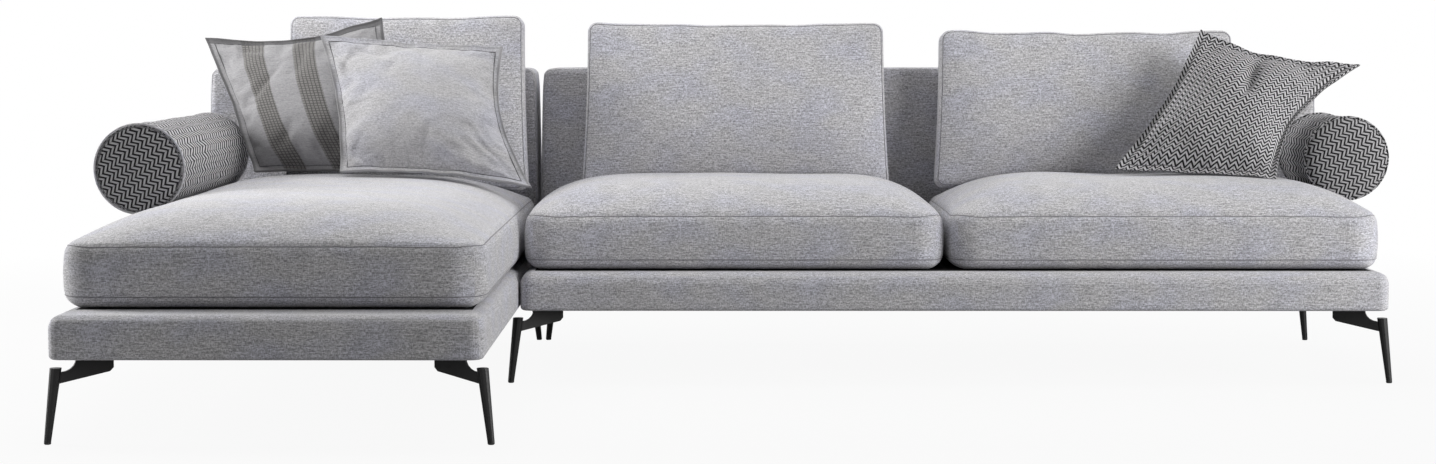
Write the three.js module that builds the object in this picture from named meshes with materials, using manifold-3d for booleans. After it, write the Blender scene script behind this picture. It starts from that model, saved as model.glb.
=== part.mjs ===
// Sectional sofa: a chaise module and a two-seat module side by side on splayed steel legs,
// with loose seat and back cushions, throw pillows and roll-shaped bolster arms.
// Lengths are in millimetres, +X to the right, +Y to the back and +Z up.
import * as THREE from 'three';
import { mergeVertices } from 'three/addons/utils/BufferGeometryUtils.js';
import Module from 'manifold-3d';

const wasm = await Module();
wasm.setup();

// Driving sizes of the whole sofa
const overallWidth = 3000;
const chaiseWidth = 895;
const chaiseLength = 1836;
const setteeDepth = 930;
const moduleGap = 4;
const legHeight = 180;
const baseHeight = 92;
const backHeight = 484;
const backThickness = 180;
const contactGap = 0.3;
const softContactGap = 0.6;

// Platform base of a module
const bandThickness = 20;
const baseCornerRadius = 20;
const deckThickness = 16;
const deckEdgeRadius = 9;
const railWidth = 45;
const webbingThickness = 3;
const dustCoverThickness = 1.5;

// Upholstered back of a module
const backBoardThickness = 30;
const backCornerRadius = 20;
const backEdgeRadius = 14;
const backSideInset = 4;

// Seat cushions
const seatSideHeight = 130;
const seatCrown = 80;
const seatCornerRadius = 46;
const seatSideBow = 4;
const seatSideClearance = 2;
const seatFrontSetback = 46;
const chaiseSeatSetback = 100;
const middleSeatWidth = 1035;
const seatBackClearance = 3;

// Back cushions
const chaiseBackCushionHeight = 462;
const middleBackCushionHeight = 432;
const rightBackCushionHeight = 416;
const backCushionWidth = 792;
const chaiseBackCushionWidth = 636;
const backCushionEdge = 44;
const backCushionFrontCrown = 92;
const backCushionRearCrown = 34;
const backCushionCornerRadius = 34;
const backCushionSideBow = 9;
const backCushionLean = 6;
const chaiseBackCushionInset = 26;
const middleBackCushionInset = 137;
const rightBackCushionInset = 245;

// Throw pillows
const pillowSize = 480;
const smallPillowSize = 460;
const pillowFlangeWidth = 17;
const pillowFlangeThickness = 5;
const pillowCrown = 58;
const pillowSideBow = 18;
const pillowCornerRadius = 9;
const pillowRise = 180;
const stripedPillowSideInset = 323;
const stripedPillowBackInset = 229;
const palePillowSideInset = 270;
const palePillowBackInset = 356;
const herringbonePillowSideInset = 290;
const herringbonePillowBackInset = 266;

// Bolster arms and the steel bars that carry them
const bolsterDiameter = 213;
const bolsterEndCrown = 9;
const bolsterPipingSize = 7;
const bolsterAxisInset = 25;
const bolsterAxisHeight = 532;
const leftBolsterLength = 812;
const rightBolsterLength = 306;
const bolsterRearClearance = 108;
const bracketWidth = 50;
const bracketThickness = 5;
const bracketReach = 16;
const bracketFootHeight = 62;
const bracketEndOffset = 110;

// Legs
const legTopDiameter = 25;
const legFootDiameter = 15;
const legDrop = 22;
const legSplay = 20;
const legTurnDegrees = 30;
const glideHeight = 5;
const gussetThickness = 6;
const gussetReach = 121;
const gussetDepth = 56;
const gussetToeDepth = 36;
const gussetToeCorner = 8;
const gussetNotch = 30;
const gussetNotchDepth = 31;
const flangeThickness = 4;
const flangeWidth = 56;
const legFrontInset = 44;
const legRearInset = 42;
const legSideInset = 9;
const legJunctionInset = 31;
const legUnderChaiseInset = -5;

// Plate that joins the two modules
const joiningPlateLength = 200;
const joiningPlateWidth = 45;
const joiningPlateThickness = 4;

// Shapes of soft pieces. A cushion's crown draws in by these shares of its half width.
// Each pillow corner stands apart from the pillow's middle by these shares of its size:
// the low right, high right, high left and low left one.
const roundLimitShare = 0.9;
const evenBowShares = [1, 1, 1, 1];
const crownInsetShares = [0.05, 0.15, 0.32, 0.56, 0.82];
const crownRoundingShare = 0.55;
const crownPower = 2;
const pillowCrownPower = 1.75;
const seatSideInsetShares = [0.55, 0.14, 0, 0, 0.1];
const seatSideHeightShares = [0, 0.08, 0.34, 0.74, 1];
const bolsterDomeShare = 0.55;
const leaningBowShares = [1, 1, 1, -1.2];
const pinchedBowShares = [3.8, 1, 1, -1];
const stripedCornerShares = [
  [0.645, -0.28, -0.41],
  [0.375, 0.05, 0.47],
  [-0.68, 0.29, 0.35],
  [-0.34, -0.06, -0.41],
];
const paleCornerShares = [
  [0.6, -0.31, -0.4],
  [0.41, 0.21, 0.33],
  [-0.59, 0.29, 0.39],
  [-0.42, -0.19, -0.33],
];
const herringboneCornerShares = [
  [0.15, -0.31, -0.37],
  [0.69, 0.04, 0.25],
  [-0.16, 0.26, 0.44],
  [-0.68, 0.01, -0.34],
];

// Travel of a soft piece while it is lowered and pushed to what carries it
const contactTolerance = 0.2;
const marchStep = 40;
const settlingReach = 80;
const settlingDrop = 60;
const towardsBack = new THREE.Vector3(0, 1, 0);
const downwards = new THREE.Vector3(0, 0, -1);

// Counts of facets
const cornerSteps = 3;
const sideSteps = 4;
const pillowSideSteps = 7;
const pillowCornerSteps = 2;
const bolsterFacets = 32;
const legFacets = 12;
const arcSteps = 5;
const edgeSteps = 3;

// Places that follow from the driving sizes
const sofaLeft = -overallWidth / 2;
const sofaRight = overallWidth / 2;
const junctionLeft = sofaLeft + chaiseWidth;
const junctionRight = junctionLeft + moduleGap;
const sofaRear = chaiseLength;
const setteeFront = chaiseLength - setteeDepth;
const baseTop = legHeight + baseHeight;
const backFront = sofaRear - backThickness;
const seatTop = baseTop + seatSideHeight + seatCrown;
const bolsterBodyRadius = bolsterDiameter / 2 - bolsterPipingSize / 4;
const fullTurn = 2 * Math.PI;
const legTurn = THREE.MathUtils.degToRad(legTurnDegrees);

// Finishes
function finish(color, roughness, metalness = 0) {
  return new THREE.MeshStandardMaterial({ color, roughness, metalness });
}

const greyFabric = finish(0xb9b6b9, 0.95);
const paleFabric = finish(0xc2bfc2, 0.95);
const stripeFabric = finish(0xa9a5a4, 0.95);
const herringboneFabric = finish(0x8a888b, 0.92);
const blackSteel = finish(0x171518, 0.42, 0.6);
const timber = finish(0xc9a878, 0.7);
const webbingCloth = finish(0x2c2c30, 0.9);
const dustCloth = finish(0x18181a, 0.95);
const blackPlastic = finish(0x101012, 0.6);

const sofa = new THREE.Group();

function addPart(name, geometry, material, parent = sofa) {
  const mesh = new THREE.Mesh(geometry, material);
  mesh.name = name;
  parent.add(mesh);
  return mesh;
}

// A box given by its lowest and highest corner
function addBlock(name, material, low, high) {
  const size = high.map((value, axis) => value - low[axis]);
  const block = addPart(name, new THREE.BoxGeometry(...size), material);
  block.position.set(...low.map((value, axis) => value + size[axis] / 2));
  return block;
}

// Closed solid over a stack of outlines that all have as many points, from the lowest to the highest
function loftOutlines(outlines) {
  const pointCount = outlines[0].length;
  const positions = outlines.flat(2);
  const lowCentre = positions.length / 3;
  const highCentre = lowCentre + 1;
  positions.push(...centreOf(outlines[0]), ...centreOf(outlines[outlines.length - 1]));
  const faces = [];
  for (let point = 0; point < pointCount; point += 1) {
    const next = (point + 1) % pointCount;
    const topRow = (outlines.length - 1) * pointCount;
    faces.push(lowCentre, next, point);
    faces.push(highCentre, topRow + point, topRow + next);
    for (let row = 0; row < outlines.length - 1; row += 1) {
      const low = row * pointCount;
      const high = low + pointCount;
      faces.push(low + point, low + next, high + next);
      faces.push(low + point, high + next, high + point);
    }
  }
  const geometry = new THREE.BufferGeometry();
  geometry.setAttribute('position', new THREE.Float32BufferAttribute(positions, 3));
  geometry.setIndex(faces);
  geometry.computeVertexNormals();
  return geometry;
}

function centreOf(points) {
  const sum = [0, 0, 0];
  points.forEach((point) => point.forEach((value, axis) => { sum[axis] += value; }));
  return sum.map((value) => value / points.length);
}

// Rectangle around the origin at height z, with round corners and sides that bow inwards
function softRectangle({
  width, depth, radius, bow, z, bowShares = evenBowShares, corner = cornerSteps, side = sideSteps,
}) {
  const outline = [];
  const halfWidth = width / 2;
  const halfDepth = depth / 2;
  const round = Math.min(radius, roundLimitShare * halfWidth, roundLimitShare * halfDepth);
  const corners = [[1, -1], [1, 1], [-1, 1], [-1, -1]];
  corners.forEach(([signX, signY], index) => {
    const centreX = signX * (halfWidth - round);
    const centreY = signY * (halfDepth - round);
    const startTurn = (index - 1) * Math.PI / 2;
    for (let step = 0; step <= corner; step += 1) {
      const turn = startTurn + step / corner * Math.PI / 2;
      outline.push([centreX + round * Math.cos(turn), centreY + round * Math.sin(turn), z]);
    }
    const [nextX, nextY] = corners[(index + 1) % corners.length];
    const endTurn = index * Math.PI / 2;
    const from = outline[outline.length - 1];
    const to = [
      nextX * (halfWidth - round) + round * Math.cos(endTurn),
      nextY * (halfDepth - round) + round * Math.sin(endTurn),
    ];
    for (let step = 1; step < side; step += 1) {
      const share = step / side;
      const dip = bow * bowShares[index] * Math.sin(share * Math.PI);
      outline.push([
        from[0] + (to[0] - from[0]) * share - dip * Math.cos(endTurn),
        from[1] + (to[1] - from[1]) * share - dip * Math.sin(endTurn),
        z,
      ]);
    }
  });
  return outline;
}

// Crowned surface: outlines that draw in towards the middle while their height follows a dome
function crownOutlines(base, crown, direction, power) {
  const reach = Math.min(base.width, base.depth) / 2;
  return crownInsetShares.map((share) => {
    const inset = share * reach;
    return softRectangle({
      ...base,
      width: base.width - 2 * inset,
      depth: base.depth - 2 * inset,
      radius: base.radius + inset * crownRoundingShare,
      bow: base.bow * (1 - share),
      z: base.z + direction * crown * (1 - (1 - share) ** power),
    });
  });
}

// Box cushion with a flat underside, softly rounded borders and a crowned top
function seatCushionGeometry(width, depth) {
  const borders = seatSideInsetShares.map((share, index) => softRectangle({
    width: width - 2 * share * seatCornerRadius,
    depth: depth - 2 * share * seatCornerRadius,
    radius: seatCornerRadius,
    bow: seatSideBow,
    z: seatSideHeightShares[index] * seatSideHeight,
  }));
  const topInset = seatSideInsetShares.at(-1) * seatCornerRadius;
  const top = {
    width: width - 2 * topInset,
    depth: depth - 2 * topInset,
    radius: seatCornerRadius,
    bow: seatSideBow,
    z: seatSideHeight,
  };
  return loftOutlines([...borders, ...crownOutlines(top, seatCrown, 1, crownPower)]);
}

// Pad that stands up: its width and height lie in the outline, and both faces are crowned
function standingPadGeometry({ width, height, radius, bow, edge, frontCrown, rearCrown, power }) {
  const rim = { width, depth: height, radius, bow };
  const rear = crownOutlines({ ...rim, z: -edge / 2 }, rearCrown, -1, power).reverse();
  const front = crownOutlines({ ...rim, z: edge / 2 }, frontCrown, 1, power);
  const rims = [softRectangle({ ...rim, z: -edge / 2 }), softRectangle({ ...rim, z: edge / 2 })];
  return loftOutlines([...rear, ...rims, ...front]);
}

// Pillow with a flat sewn flange all round, stretched over four corners that stand apart from its centre.
// The corners run from the lower right one against the clock, as the outline does.
function pillowGeometry(size, cornerShares, bowShares) {
  const rim = {
    width: size, depth: size, radius: pillowCornerRadius, bow: pillowSideBow, bowShares,
    corner: pillowCornerSteps, side: pillowSideSteps,
  };
  const body = { ...rim, width: size - 2 * pillowFlangeWidth, depth: size - 2 * pillowFlangeWidth };
  const half = pillowFlangeThickness / 2;
  const outlines = [
    ...crownOutlines({ ...body, z: -half }, pillowCrown, -1, pillowCrownPower).reverse(),
    softRectangle({ ...body, z: -half }),
    softRectangle({ ...rim, z: -half }),
    softRectangle({ ...rim, z: half }),
    softRectangle({ ...body, z: half }),
    ...crownOutlines({ ...body, z: half }, pillowCrown, 1, pillowCrownPower),
  ];
  const [lowRight, highRight, highLeft, lowLeft] = cornerShares.map((shares) => (
    new THREE.Vector3(...shares).multiplyScalar(size)));
  const rising = highLeft.clone().sub(lowRight);
  const falling = highRight.clone().sub(lowLeft);
  const facing = falling.cross(rising).normalize();
  const stretched = outlines.map((outline) => outline.map(([x, y, z]) => {
    const across = x / size + 1 / 2;
    const upwards = y / size + 1 / 2;
    const low = lowLeft.clone().lerp(lowRight, across);
    const high = highLeft.clone().lerp(highRight, across);
    return low.lerp(high, upwards).addScaledVector(facing, z).toArray();
  }));
  return loftOutlines(stretched);
}

// Lowers a soft piece onto its seat a little in front of its place, then pushes it back to what it leans on
function settle(mesh, seat, backs) {
  mesh.position.add(new THREE.Vector3(0, -settlingReach, settlingDrop));
  moveToContact(mesh, [seat, ...backs], downwards);
  moveToContact(mesh, [seat, ...backs], towardsBack);
  moveToContact(mesh, [seat, ...backs], downwards);
}

// Moves a soft piece along a direction until it all but touches the pieces that carry it
function moveToContact(mesh, supports, direction) {
  const solid = placedSolid(mesh);
  const carriers = supports.map(placedSolid).reduce((all, one) => all.add(one));
  const touches = (travel) => {
    const shifted = solid.translate(direction.clone().multiplyScalar(travel).toArray());
    return !shifted.intersect(carriers).isEmpty();
  };
  let clear = 0;
  let blocked = marchStep;
  while (blocked < overallWidth && !touches(blocked)) {
    clear = blocked;
    blocked += marchStep;
  }
  while (blocked - clear > contactTolerance) {
    const middle = (clear + blocked) / 2;
    if (touches(middle)) {
      blocked = middle;
    } else {
      clear = middle;
    }
  }
  mesh.position.addScaledVector(direction, clear - softContactGap);
}

function placedSolid(mesh) {
  sofa.updateMatrixWorld(true);
  return toSolid(mesh.geometry.clone().applyMatrix4(mesh.matrixWorld));
}

function toSolid(geometry) {
  const bare = geometry.clone();
  bare.deleteAttribute('normal');
  bare.deleteAttribute('uv');
  const merged = mergeVertices(bare);
  return new wasm.Manifold(new wasm.Mesh({
    numProp: 3,
    vertProperties: new Float32Array(merged.getAttribute('position').array),
    triVerts: new Uint32Array(merged.getIndex().array),
  }));
}

function fromSolid(solid) {
  const mesh = solid.getMesh();
  const geometry = new THREE.BufferGeometry();
  geometry.setAttribute('position', new THREE.Float32BufferAttribute(mesh.vertProperties, 3));
  geometry.setIndex(new THREE.BufferAttribute(mesh.triVerts, 1));
  geometry.computeVertexNormals();
  return geometry;
}

// Plan outline of a band or board, rounded at the corners on its outer side
function roundedPlan(width, depth, frontRadius) {
  const plan = new THREE.Shape();
  plan.moveTo(0, depth);
  plan.lineTo(0, frontRadius);
  plan.absarc(frontRadius, frontRadius, frontRadius, Math.PI, 1.5 * Math.PI, false);
  plan.lineTo(width - frontRadius, 0);
  plan.absarc(width - frontRadius, frontRadius, frontRadius, 1.5 * Math.PI, fullTurn, false);
  plan.lineTo(width, depth);
  plan.closePath();
  return plan;
}

function extrude(shape, depth) {
  return new THREE.ExtrudeGeometry(shape, { depth, bevelEnabled: false, curveSegments: arcSteps });
}

// Platform base: timber rails with webbing on top, padded bands around them and a padded deck
function addBase(module, left, right, front, rear, crossAlongX) {
  const width = right - left;
  const deckBottom = baseTop - deckThickness;
  const railBottom = legHeight + dustCoverThickness;
  const railTop = deckBottom - webbingThickness;
  const innerLeft = left + bandThickness;
  const innerRight = right - bandThickness;
  const innerFront = front + bandThickness;
  const innerRear = rear - bandThickness;
  const band = () => extrude(roundedPlan(width, bandThickness, baseCornerRadius), deckBottom - legHeight);
  const frontBand = addPart(`${module}_front_band`, band(), greyFabric);
  frontBand.position.set(left, front, legHeight);
  const rearBand = addPart(`${module}_rear_band`, band(), greyFabric);
  rearBand.position.set(right, rear, legHeight);
  rearBand.rotation.z = Math.PI;
  const addModuleBlock = (piece, material, low, high) => addBlock(`${module}_${piece}`, material, low, high);
  addModuleBlock('left_band', greyFabric, [left, innerFront, legHeight], [innerLeft, innerRear, deckBottom]);
  addModuleBlock('right_band', greyFabric, [innerRight, innerFront, legHeight], [right, innerRear, deckBottom]);

  const railFront = innerFront + railWidth;
  const railRear = innerRear - railWidth;
  const railLeft = innerLeft + railWidth;
  const railRight = innerRight - railWidth;
  addModuleBlock('front_rail', timber, [innerLeft, innerFront, railBottom], [innerRight, railFront, railTop]);
  addModuleBlock('rear_rail', timber, [innerLeft, railRear, railBottom], [innerRight, innerRear, railTop]);
  addModuleBlock('left_rail', timber, [innerLeft, railFront, railBottom], [railLeft, railRear, railTop]);
  addModuleBlock('right_rail', timber, [railRight, railFront, railBottom], [innerRight, railRear, railTop]);
  const middleX = (left + right) / 2;
  const middleY = (front + rear) / 2;
  if (crossAlongX) {
    addModuleBlock('cross_rail', timber,
      [railLeft, middleY - railWidth / 2, railBottom], [railRight, middleY + railWidth / 2, railTop]);
  } else {
    addModuleBlock('cross_rail', timber,
      [middleX - railWidth / 2, railFront, railBottom], [middleX + railWidth / 2, railRear, railTop]);
  }
  addModuleBlock('webbing', webbingCloth, [innerLeft, innerFront, railTop], [innerRight, innerRear, deckBottom]);
  addModuleBlock('dust_cover', dustCloth, [innerLeft, innerFront, legHeight], [innerRight, innerRear, railBottom]);

  const deckSize = { width, depth: rear - front, radius: baseCornerRadius, bow: 0 };
  const deckRows = [softRectangle({ ...deckSize, z: 0 })];
  for (let step = 0; step <= edgeSteps; step += 1) {
    const turn = step / edgeSteps * Math.PI / 2;
    const inset = deckEdgeRadius * (1 - Math.cos(turn));
    deckRows.push(softRectangle({
      ...deckSize,
      width: width - 2 * inset,
      depth: rear - front - 2 * inset,
      z: deckThickness - deckEdgeRadius * (1 - Math.sin(turn)),
    }));
  }
  const deck = addPart(`${module}_deck`, loftOutlines(deckRows), greyFabric);
  deck.position.set(middleX, middleY, deckBottom);
  return deck;
}

// Upholstered back: a board at the rear and a thick pad in front of it
function addBack(module, left, right) {
  const width = right - left - 2 * backSideInset;
  const outline = new THREE.Shape();
  const round = backCornerRadius;
  outline.moveTo(0, 0);
  outline.lineTo(width, 0);
  outline.lineTo(width, backHeight - round);
  outline.absarc(width - round, backHeight - round, round, 0, Math.PI / 2, false);
  outline.lineTo(round, backHeight);
  outline.absarc(round, backHeight - round, round, Math.PI / 2, Math.PI, false);
  outline.closePath();
  const board = addPart(`${module}_back_board`, extrude(outline, backBoardThickness), timber);
  board.rotation.x = Math.PI / 2;
  board.position.set(left + backSideInset, sofaRear, baseTop);

  const padDepth = backThickness - backBoardThickness;
  const padRows = [];
  const row = (inset, z) => softRectangle({
    width: width - 2 * inset,
    depth: backHeight - 2 * inset,
    radius: backCornerRadius,
    bow: 0,
    z,
  });
  padRows.push(row(0, 0));
  for (let step = 0; step <= edgeSteps; step += 1) {
    const turn = step / edgeSteps * Math.PI / 2;
    const inset = backEdgeRadius * (1 - Math.cos(turn));
    padRows.push(row(inset, padDepth - backEdgeRadius * (1 - Math.sin(turn))));
  }
  const pad = addPart(`${module}_back_pad`, loftOutlines(padRows), greyFabric);
  pad.rotation.x = Math.PI / 2;
  pad.position.set((left + right) / 2, sofaRear - backBoardThickness, baseTop + backHeight / 2);
  return pad;
}

// Leg: tapered splayed tube, gusset plate and screwed flange, welded into one piece.
// Here the leg's outer side faces -X and its foot stands at the origin.
function legGeometry() {
  const footTop = glideHeight;
  const tubeTop = legHeight - legDrop;
  const tubeLength = tubeTop - footTop;
  const tube = new THREE.CylinderGeometry(legTopDiameter / 2, legFootDiameter / 2, tubeLength, legFacets);
  tube.rotateX(Math.PI / 2);
  tube.translate(0, 0, footTop + tubeLength / 2);
  const slope = legSplay / tubeLength;
  tube.applyMatrix4(new THREE.Matrix4().makeShear(0, 0, 0, 0, slope, 0));
  tube.translate(-slope * footTop, 0, 0);

  const plateTop = legHeight - flangeThickness;
  const gusset = new THREE.Shape();
  gusset.moveTo(legSplay, tubeTop - legTopDiameter / 2);
  gusset.lineTo(legSplay, legHeight - gussetDepth);
  gusset.lineTo(legSplay + gussetReach - gussetToeCorner, legHeight - gussetToeDepth);
  gusset.lineTo(legSplay + gussetReach, legHeight - gussetToeDepth + gussetToeCorner);
  gusset.lineTo(legSplay + gussetReach, plateTop + flangeThickness / 2);
  const notchDepth = gussetNotchDepth - flangeThickness;
  const notchStart = legSplay + legTopDiameter / 2;
  for (let step = 0; step <= arcSteps; step += 1) {
    const turn = step / arcSteps * Math.PI / 2;
    gusset.lineTo(notchStart + gussetNotch * Math.cos(turn), plateTop - notchDepth * Math.sin(turn));
  }
  gusset.closePath();
  const plate = extrude(gusset, gussetThickness);
  plate.rotateX(Math.PI / 2);
  plate.translate(0, gussetThickness / 2, 0);

  const flangeLength = gussetReach - gussetNotch - legTopDiameter / 2;
  const flange = new THREE.BoxGeometry(flangeLength, flangeWidth, flangeThickness);
  flange.translate(legSplay + gussetReach - flangeLength / 2, 0, legHeight - flangeThickness / 2);
  return fromSolid(toSolid(tube).add(toSolid(plate)).add(toSolid(flange)));
}

// Plastic glide under a leg, a short button with a bevelled rim
function glideGeometry() {
  const radius = legFootDiameter / 2;
  const bevel = glideHeight / 3;
  const profile = [
    new THREE.Vector2(0, 0),
    new THREE.Vector2(radius - bevel, 0),
    new THREE.Vector2(radius, bevel),
    new THREE.Vector2(radius, glideHeight),
    new THREE.Vector2(0, glideHeight),
  ];
  const glide = new THREE.LatheGeometry(profile, legFacets);
  glide.rotateX(Math.PI / 2);
  return glide;
}

// Legs near the corners of a module, each turned so that its plate points diagonally inwards
function addLegs(module, left, right, front, rear, insets) {
  const spots = [
    ['front_left', left + insets.frontLeft, front + legFrontInset, 1, legTurn],
    ['front_right', right - insets.frontRight, front + legFrontInset, -1, Math.PI - legTurn],
    ['rear_left', left + insets.rearLeft, rear - legRearInset, 1, -legTurn],
    ['rear_right', right - insets.rearRight, rear - legRearInset, -1, Math.PI + legTurn],
  ];
  spots.forEach(([corner, topX, y, side, turn]) => {
    const footX = topX - side * legSplay;
    const leg = addPart(`${module}_${corner}_leg`, legGeometry(), blackSteel);
    leg.position.set(footX, y, 0);
    leg.rotation.z = turn;
    const glide = addPart(`${module}_${corner}_glide`, glideGeometry(), blackPlastic);
    glide.position.set(footX, y, 0);
  });
}

// Bolster: roll along Y with a piped rim and a slightly domed disc at each end
function bolsterGeometry(length) {
  const radius = bolsterDiameter / 2;
  const half = length / 2;
  const piping = bolsterPipingSize;
  const endProfile = [
    [0, half],
    [radius * bolsterDomeShare, half - bolsterEndCrown * bolsterDomeShare],
    [radius - piping, half - bolsterEndCrown],
    [radius - piping / 2, half - bolsterEndCrown + piping / 2],
    [radius, half - bolsterEndCrown],
    [bolsterBodyRadius, half - bolsterEndCrown - piping],
  ];
  const points = [
    ...endProfile.map(([r, y]) => [r, -y]),
    ...endProfile.map(([r, y]) => [r, y]).reverse(),
  ];
  return new THREE.LatheGeometry(points.map(([r, y]) => new THREE.Vector2(r, y)), bolsterFacets);
}

// Flat bar that rises outside the base and ends in a saddle under the bolster; its outer side faces -X
function bracketGeometry() {
  const inner = bolsterBodyRadius + contactGap;
  const outer = inner + bracketThickness;
  const offset = bolsterAxisInset + bracketThickness;
  const startTurn = -Math.asin(offset / outer);
  const endTurn = Math.asin(bracketReach / outer);
  const profile = new THREE.Shape();
  const bottom = legHeight + baseHeight - bracketFootHeight - bolsterAxisHeight;
  profile.moveTo(-offset, bottom);
  profile.lineTo(-bolsterAxisInset, bottom);
  profile.lineTo(-bolsterAxisInset, -Math.sqrt(outer * outer - bolsterAxisInset * bolsterAxisInset));
  const innerEdge = -Math.asin(bolsterAxisInset / outer);
  for (let step = 1; step <= arcSteps; step += 1) {
    const turn = innerEdge + step / arcSteps * (endTurn - innerEdge);
    profile.lineTo(outer * Math.sin(turn), -outer * Math.cos(turn));
  }
  for (let step = 0; step <= arcSteps; step += 1) {
    const turn = endTurn + step / arcSteps * (startTurn - endTurn);
    profile.lineTo(inner * Math.sin(turn), -inner * Math.cos(turn));
  }
  profile.closePath();
  const bracket = extrude(profile, bracketWidth);
  bracket.rotateX(Math.PI / 2);
  bracket.translate(0, bracketWidth / 2, 0);
  return bracket;
}

function addBolster(side, axisX, length, bracketCount) {
  const rear = backFront - bolsterRearClearance;
  const middle = rear - length / 2;
  const bolster = addPart(`${side}_bolster`, bolsterGeometry(length), herringboneFabric);
  bolster.position.set(axisX, middle, bolsterAxisHeight);
  const places = bracketCount > 1 ? [-1, 1] : [0];
  places.forEach((place) => {
    const end = place < 0 ? '_front' : '_rear';
    const suffix = place === 0 ? '' : end;
    const bracket = addPart(`${side}_bolster_bracket${suffix}`, bracketGeometry(), blackSteel);
    bracket.position.set(axisX, middle + place * (length / 2 - bracketEndOffset), bolsterAxisHeight);
    bracket.rotation.z = axisX < 0 ? 0 : Math.PI;
  });
  return bolster;
}

// Seat cushion between two sides, from its front edge back to the upholstered back
function addSeat(name, left, right, front) {
  const width = right - left;
  const depth = backFront - seatBackClearance - front;
  const seat = addPart(name, seatCushionGeometry(width, depth), greyFabric);
  seat.position.set((left + right) / 2, front + depth / 2, baseTop);
  return seat;
}

function addBackCushion(name, width, height, x, seat, back) {
  const pad = standingPadGeometry({
    width,
    height,
    radius: backCushionCornerRadius,
    bow: backCushionSideBow,
    edge: backCushionEdge,
    frontCrown: backCushionFrontCrown,
    rearCrown: backCushionRearCrown,
    power: crownPower,
  });
  const cushion = addPart(name, pad, greyFabric);
  cushion.rotation.x = THREE.MathUtils.degToRad(90 - backCushionLean);
  cushion.position.set(
    x,
    backFront - backCushionEdge - backCushionFrontCrown,
    seatTop + height / 2,
  );
  settle(cushion, seat, [back]);
  return cushion;
}

function addPillow(name, material, { size, x, y, cornerShares, bowShares }, seat, backs) {
  const pillow = addPart(name, pillowGeometry(size, cornerShares, bowShares), material);
  pillow.position.set(x, y, seatTop + pillowRise);
  settle(pillow, seat, backs);
  return pillow;
}

// Chaise module
addBase('chaise', sofaLeft, junctionLeft, 0, sofaRear, true);
const chaiseBack = addBack('chaise', sofaLeft, junctionLeft);
addLegs('chaise', sofaLeft, junctionLeft, 0, sofaRear, {
  frontLeft: legSideInset,
  frontRight: legSideInset,
  rearLeft: legSideInset,
  rearRight: legJunctionInset,
});

// Two-seat module
addBase('settee', junctionRight, sofaRight, setteeFront, sofaRear, false);
const setteeBack = addBack('settee', junctionRight, sofaRight);
addLegs('settee', junctionRight, sofaRight, setteeFront, sofaRear, {
  frontLeft: legUnderChaiseInset,
  frontRight: legSideInset,
  rearLeft: legJunctionInset,
  rearRight: legSideInset,
});
const plateMiddleY = (setteeFront + sofaRear) / 2;
const plateHalfLength = joiningPlateLength / 2;
const plateHalfWidth = joiningPlateWidth / 2;
addBlock('joining_plate', blackSteel,
  [junctionRight - plateHalfLength, plateMiddleY - plateHalfWidth, legHeight - joiningPlateThickness],
  [junctionRight + plateHalfLength, plateMiddleY + plateHalfWidth, legHeight]);

// Bolster arms
addBolster('left', sofaLeft + bolsterAxisInset, leftBolsterLength, 2);
addBolster('right', sofaRight - bolsterAxisInset, rightBolsterLength, 1);

// Seat cushions
const seatJoint = junctionRight + seatSideClearance / 2 + middleSeatWidth;
const chaiseSeat = addSeat('chaise_seat_cushion',
  sofaLeft + seatSideClearance, junctionLeft - seatSideClearance, chaiseSeatSetback);
const middleSeat = addSeat('middle_seat_cushion',
  junctionRight + seatSideClearance, seatJoint - seatSideClearance / 2, setteeFront + seatFrontSetback);
const rightSeat = addSeat('right_seat_cushion',
  seatJoint + seatSideClearance / 2, sofaRight - seatSideClearance, setteeFront + seatFrontSetback);

// Back cushions
const chaiseCushion = addBackCushion('chaise_back_cushion', chaiseBackCushionWidth, chaiseBackCushionHeight,
  junctionLeft - chaiseBackCushionInset - chaiseBackCushionWidth / 2, chaiseSeat, chaiseBack);
addBackCushion('middle_back_cushion', backCushionWidth, middleBackCushionHeight,
  junctionRight + middleBackCushionInset + backCushionWidth / 2, middleSeat, setteeBack);
const rightCushion = addBackCushion('right_back_cushion', backCushionWidth, rightBackCushionHeight,
  sofaRight - rightBackCushionInset - backCushionWidth / 2, rightSeat, setteeBack);

// Throw pillows
const stripedPillow = addPillow('striped_pillow', stripeFabric, {
  size: smallPillowSize,
  x: sofaLeft + stripedPillowSideInset,
  y: backFront - stripedPillowBackInset,
  cornerShares: stripedCornerShares,
  bowShares: leaningBowShares,
}, chaiseSeat, [chaiseBack, chaiseCushion]);
addPillow('pale_pillow', paleFabric, {
  size: pillowSize,
  x: junctionLeft - palePillowSideInset,
  y: backFront - palePillowBackInset,
  cornerShares: paleCornerShares,
  bowShares: leaningBowShares,
}, chaiseSeat, [chaiseCushion, stripedPillow]);
addPillow('herringbone_pillow', herringboneFabric, {
  size: smallPillowSize,
  x: sofaRight - herringbonePillowSideInset,
  y: backFront - herringbonePillowBackInset,
  cornerShares: herringboneCornerShares,
  bowShares: pinchedBowShares,
}, rightSeat, [setteeBack, rightCushion]);

// The origin is on the floor, in the middle of the whole sofa's box
const whole = new THREE.Box3().setFromObject(sofa, true);
const root = new THREE.Group();
root.add(sofa);
sofa.position.set(-(whole.min.x + whole.max.x) / 2, -(whole.min.y + whole.max.y) / 2, -whole.min.z);

export default root;
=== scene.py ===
"""Looks of a sectional sofa with chaise: covers, cushions, pillows and bolsters around the fixed CAD frame.

Lengths are in metres, in the frame of the CAD model: +X right, +Y back, +Z up.
"""

import math

import bmesh
import bpy
import numpy as np
from mathutils import Matrix, Vector
from mathutils.bvhtree import BVHTree


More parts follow.
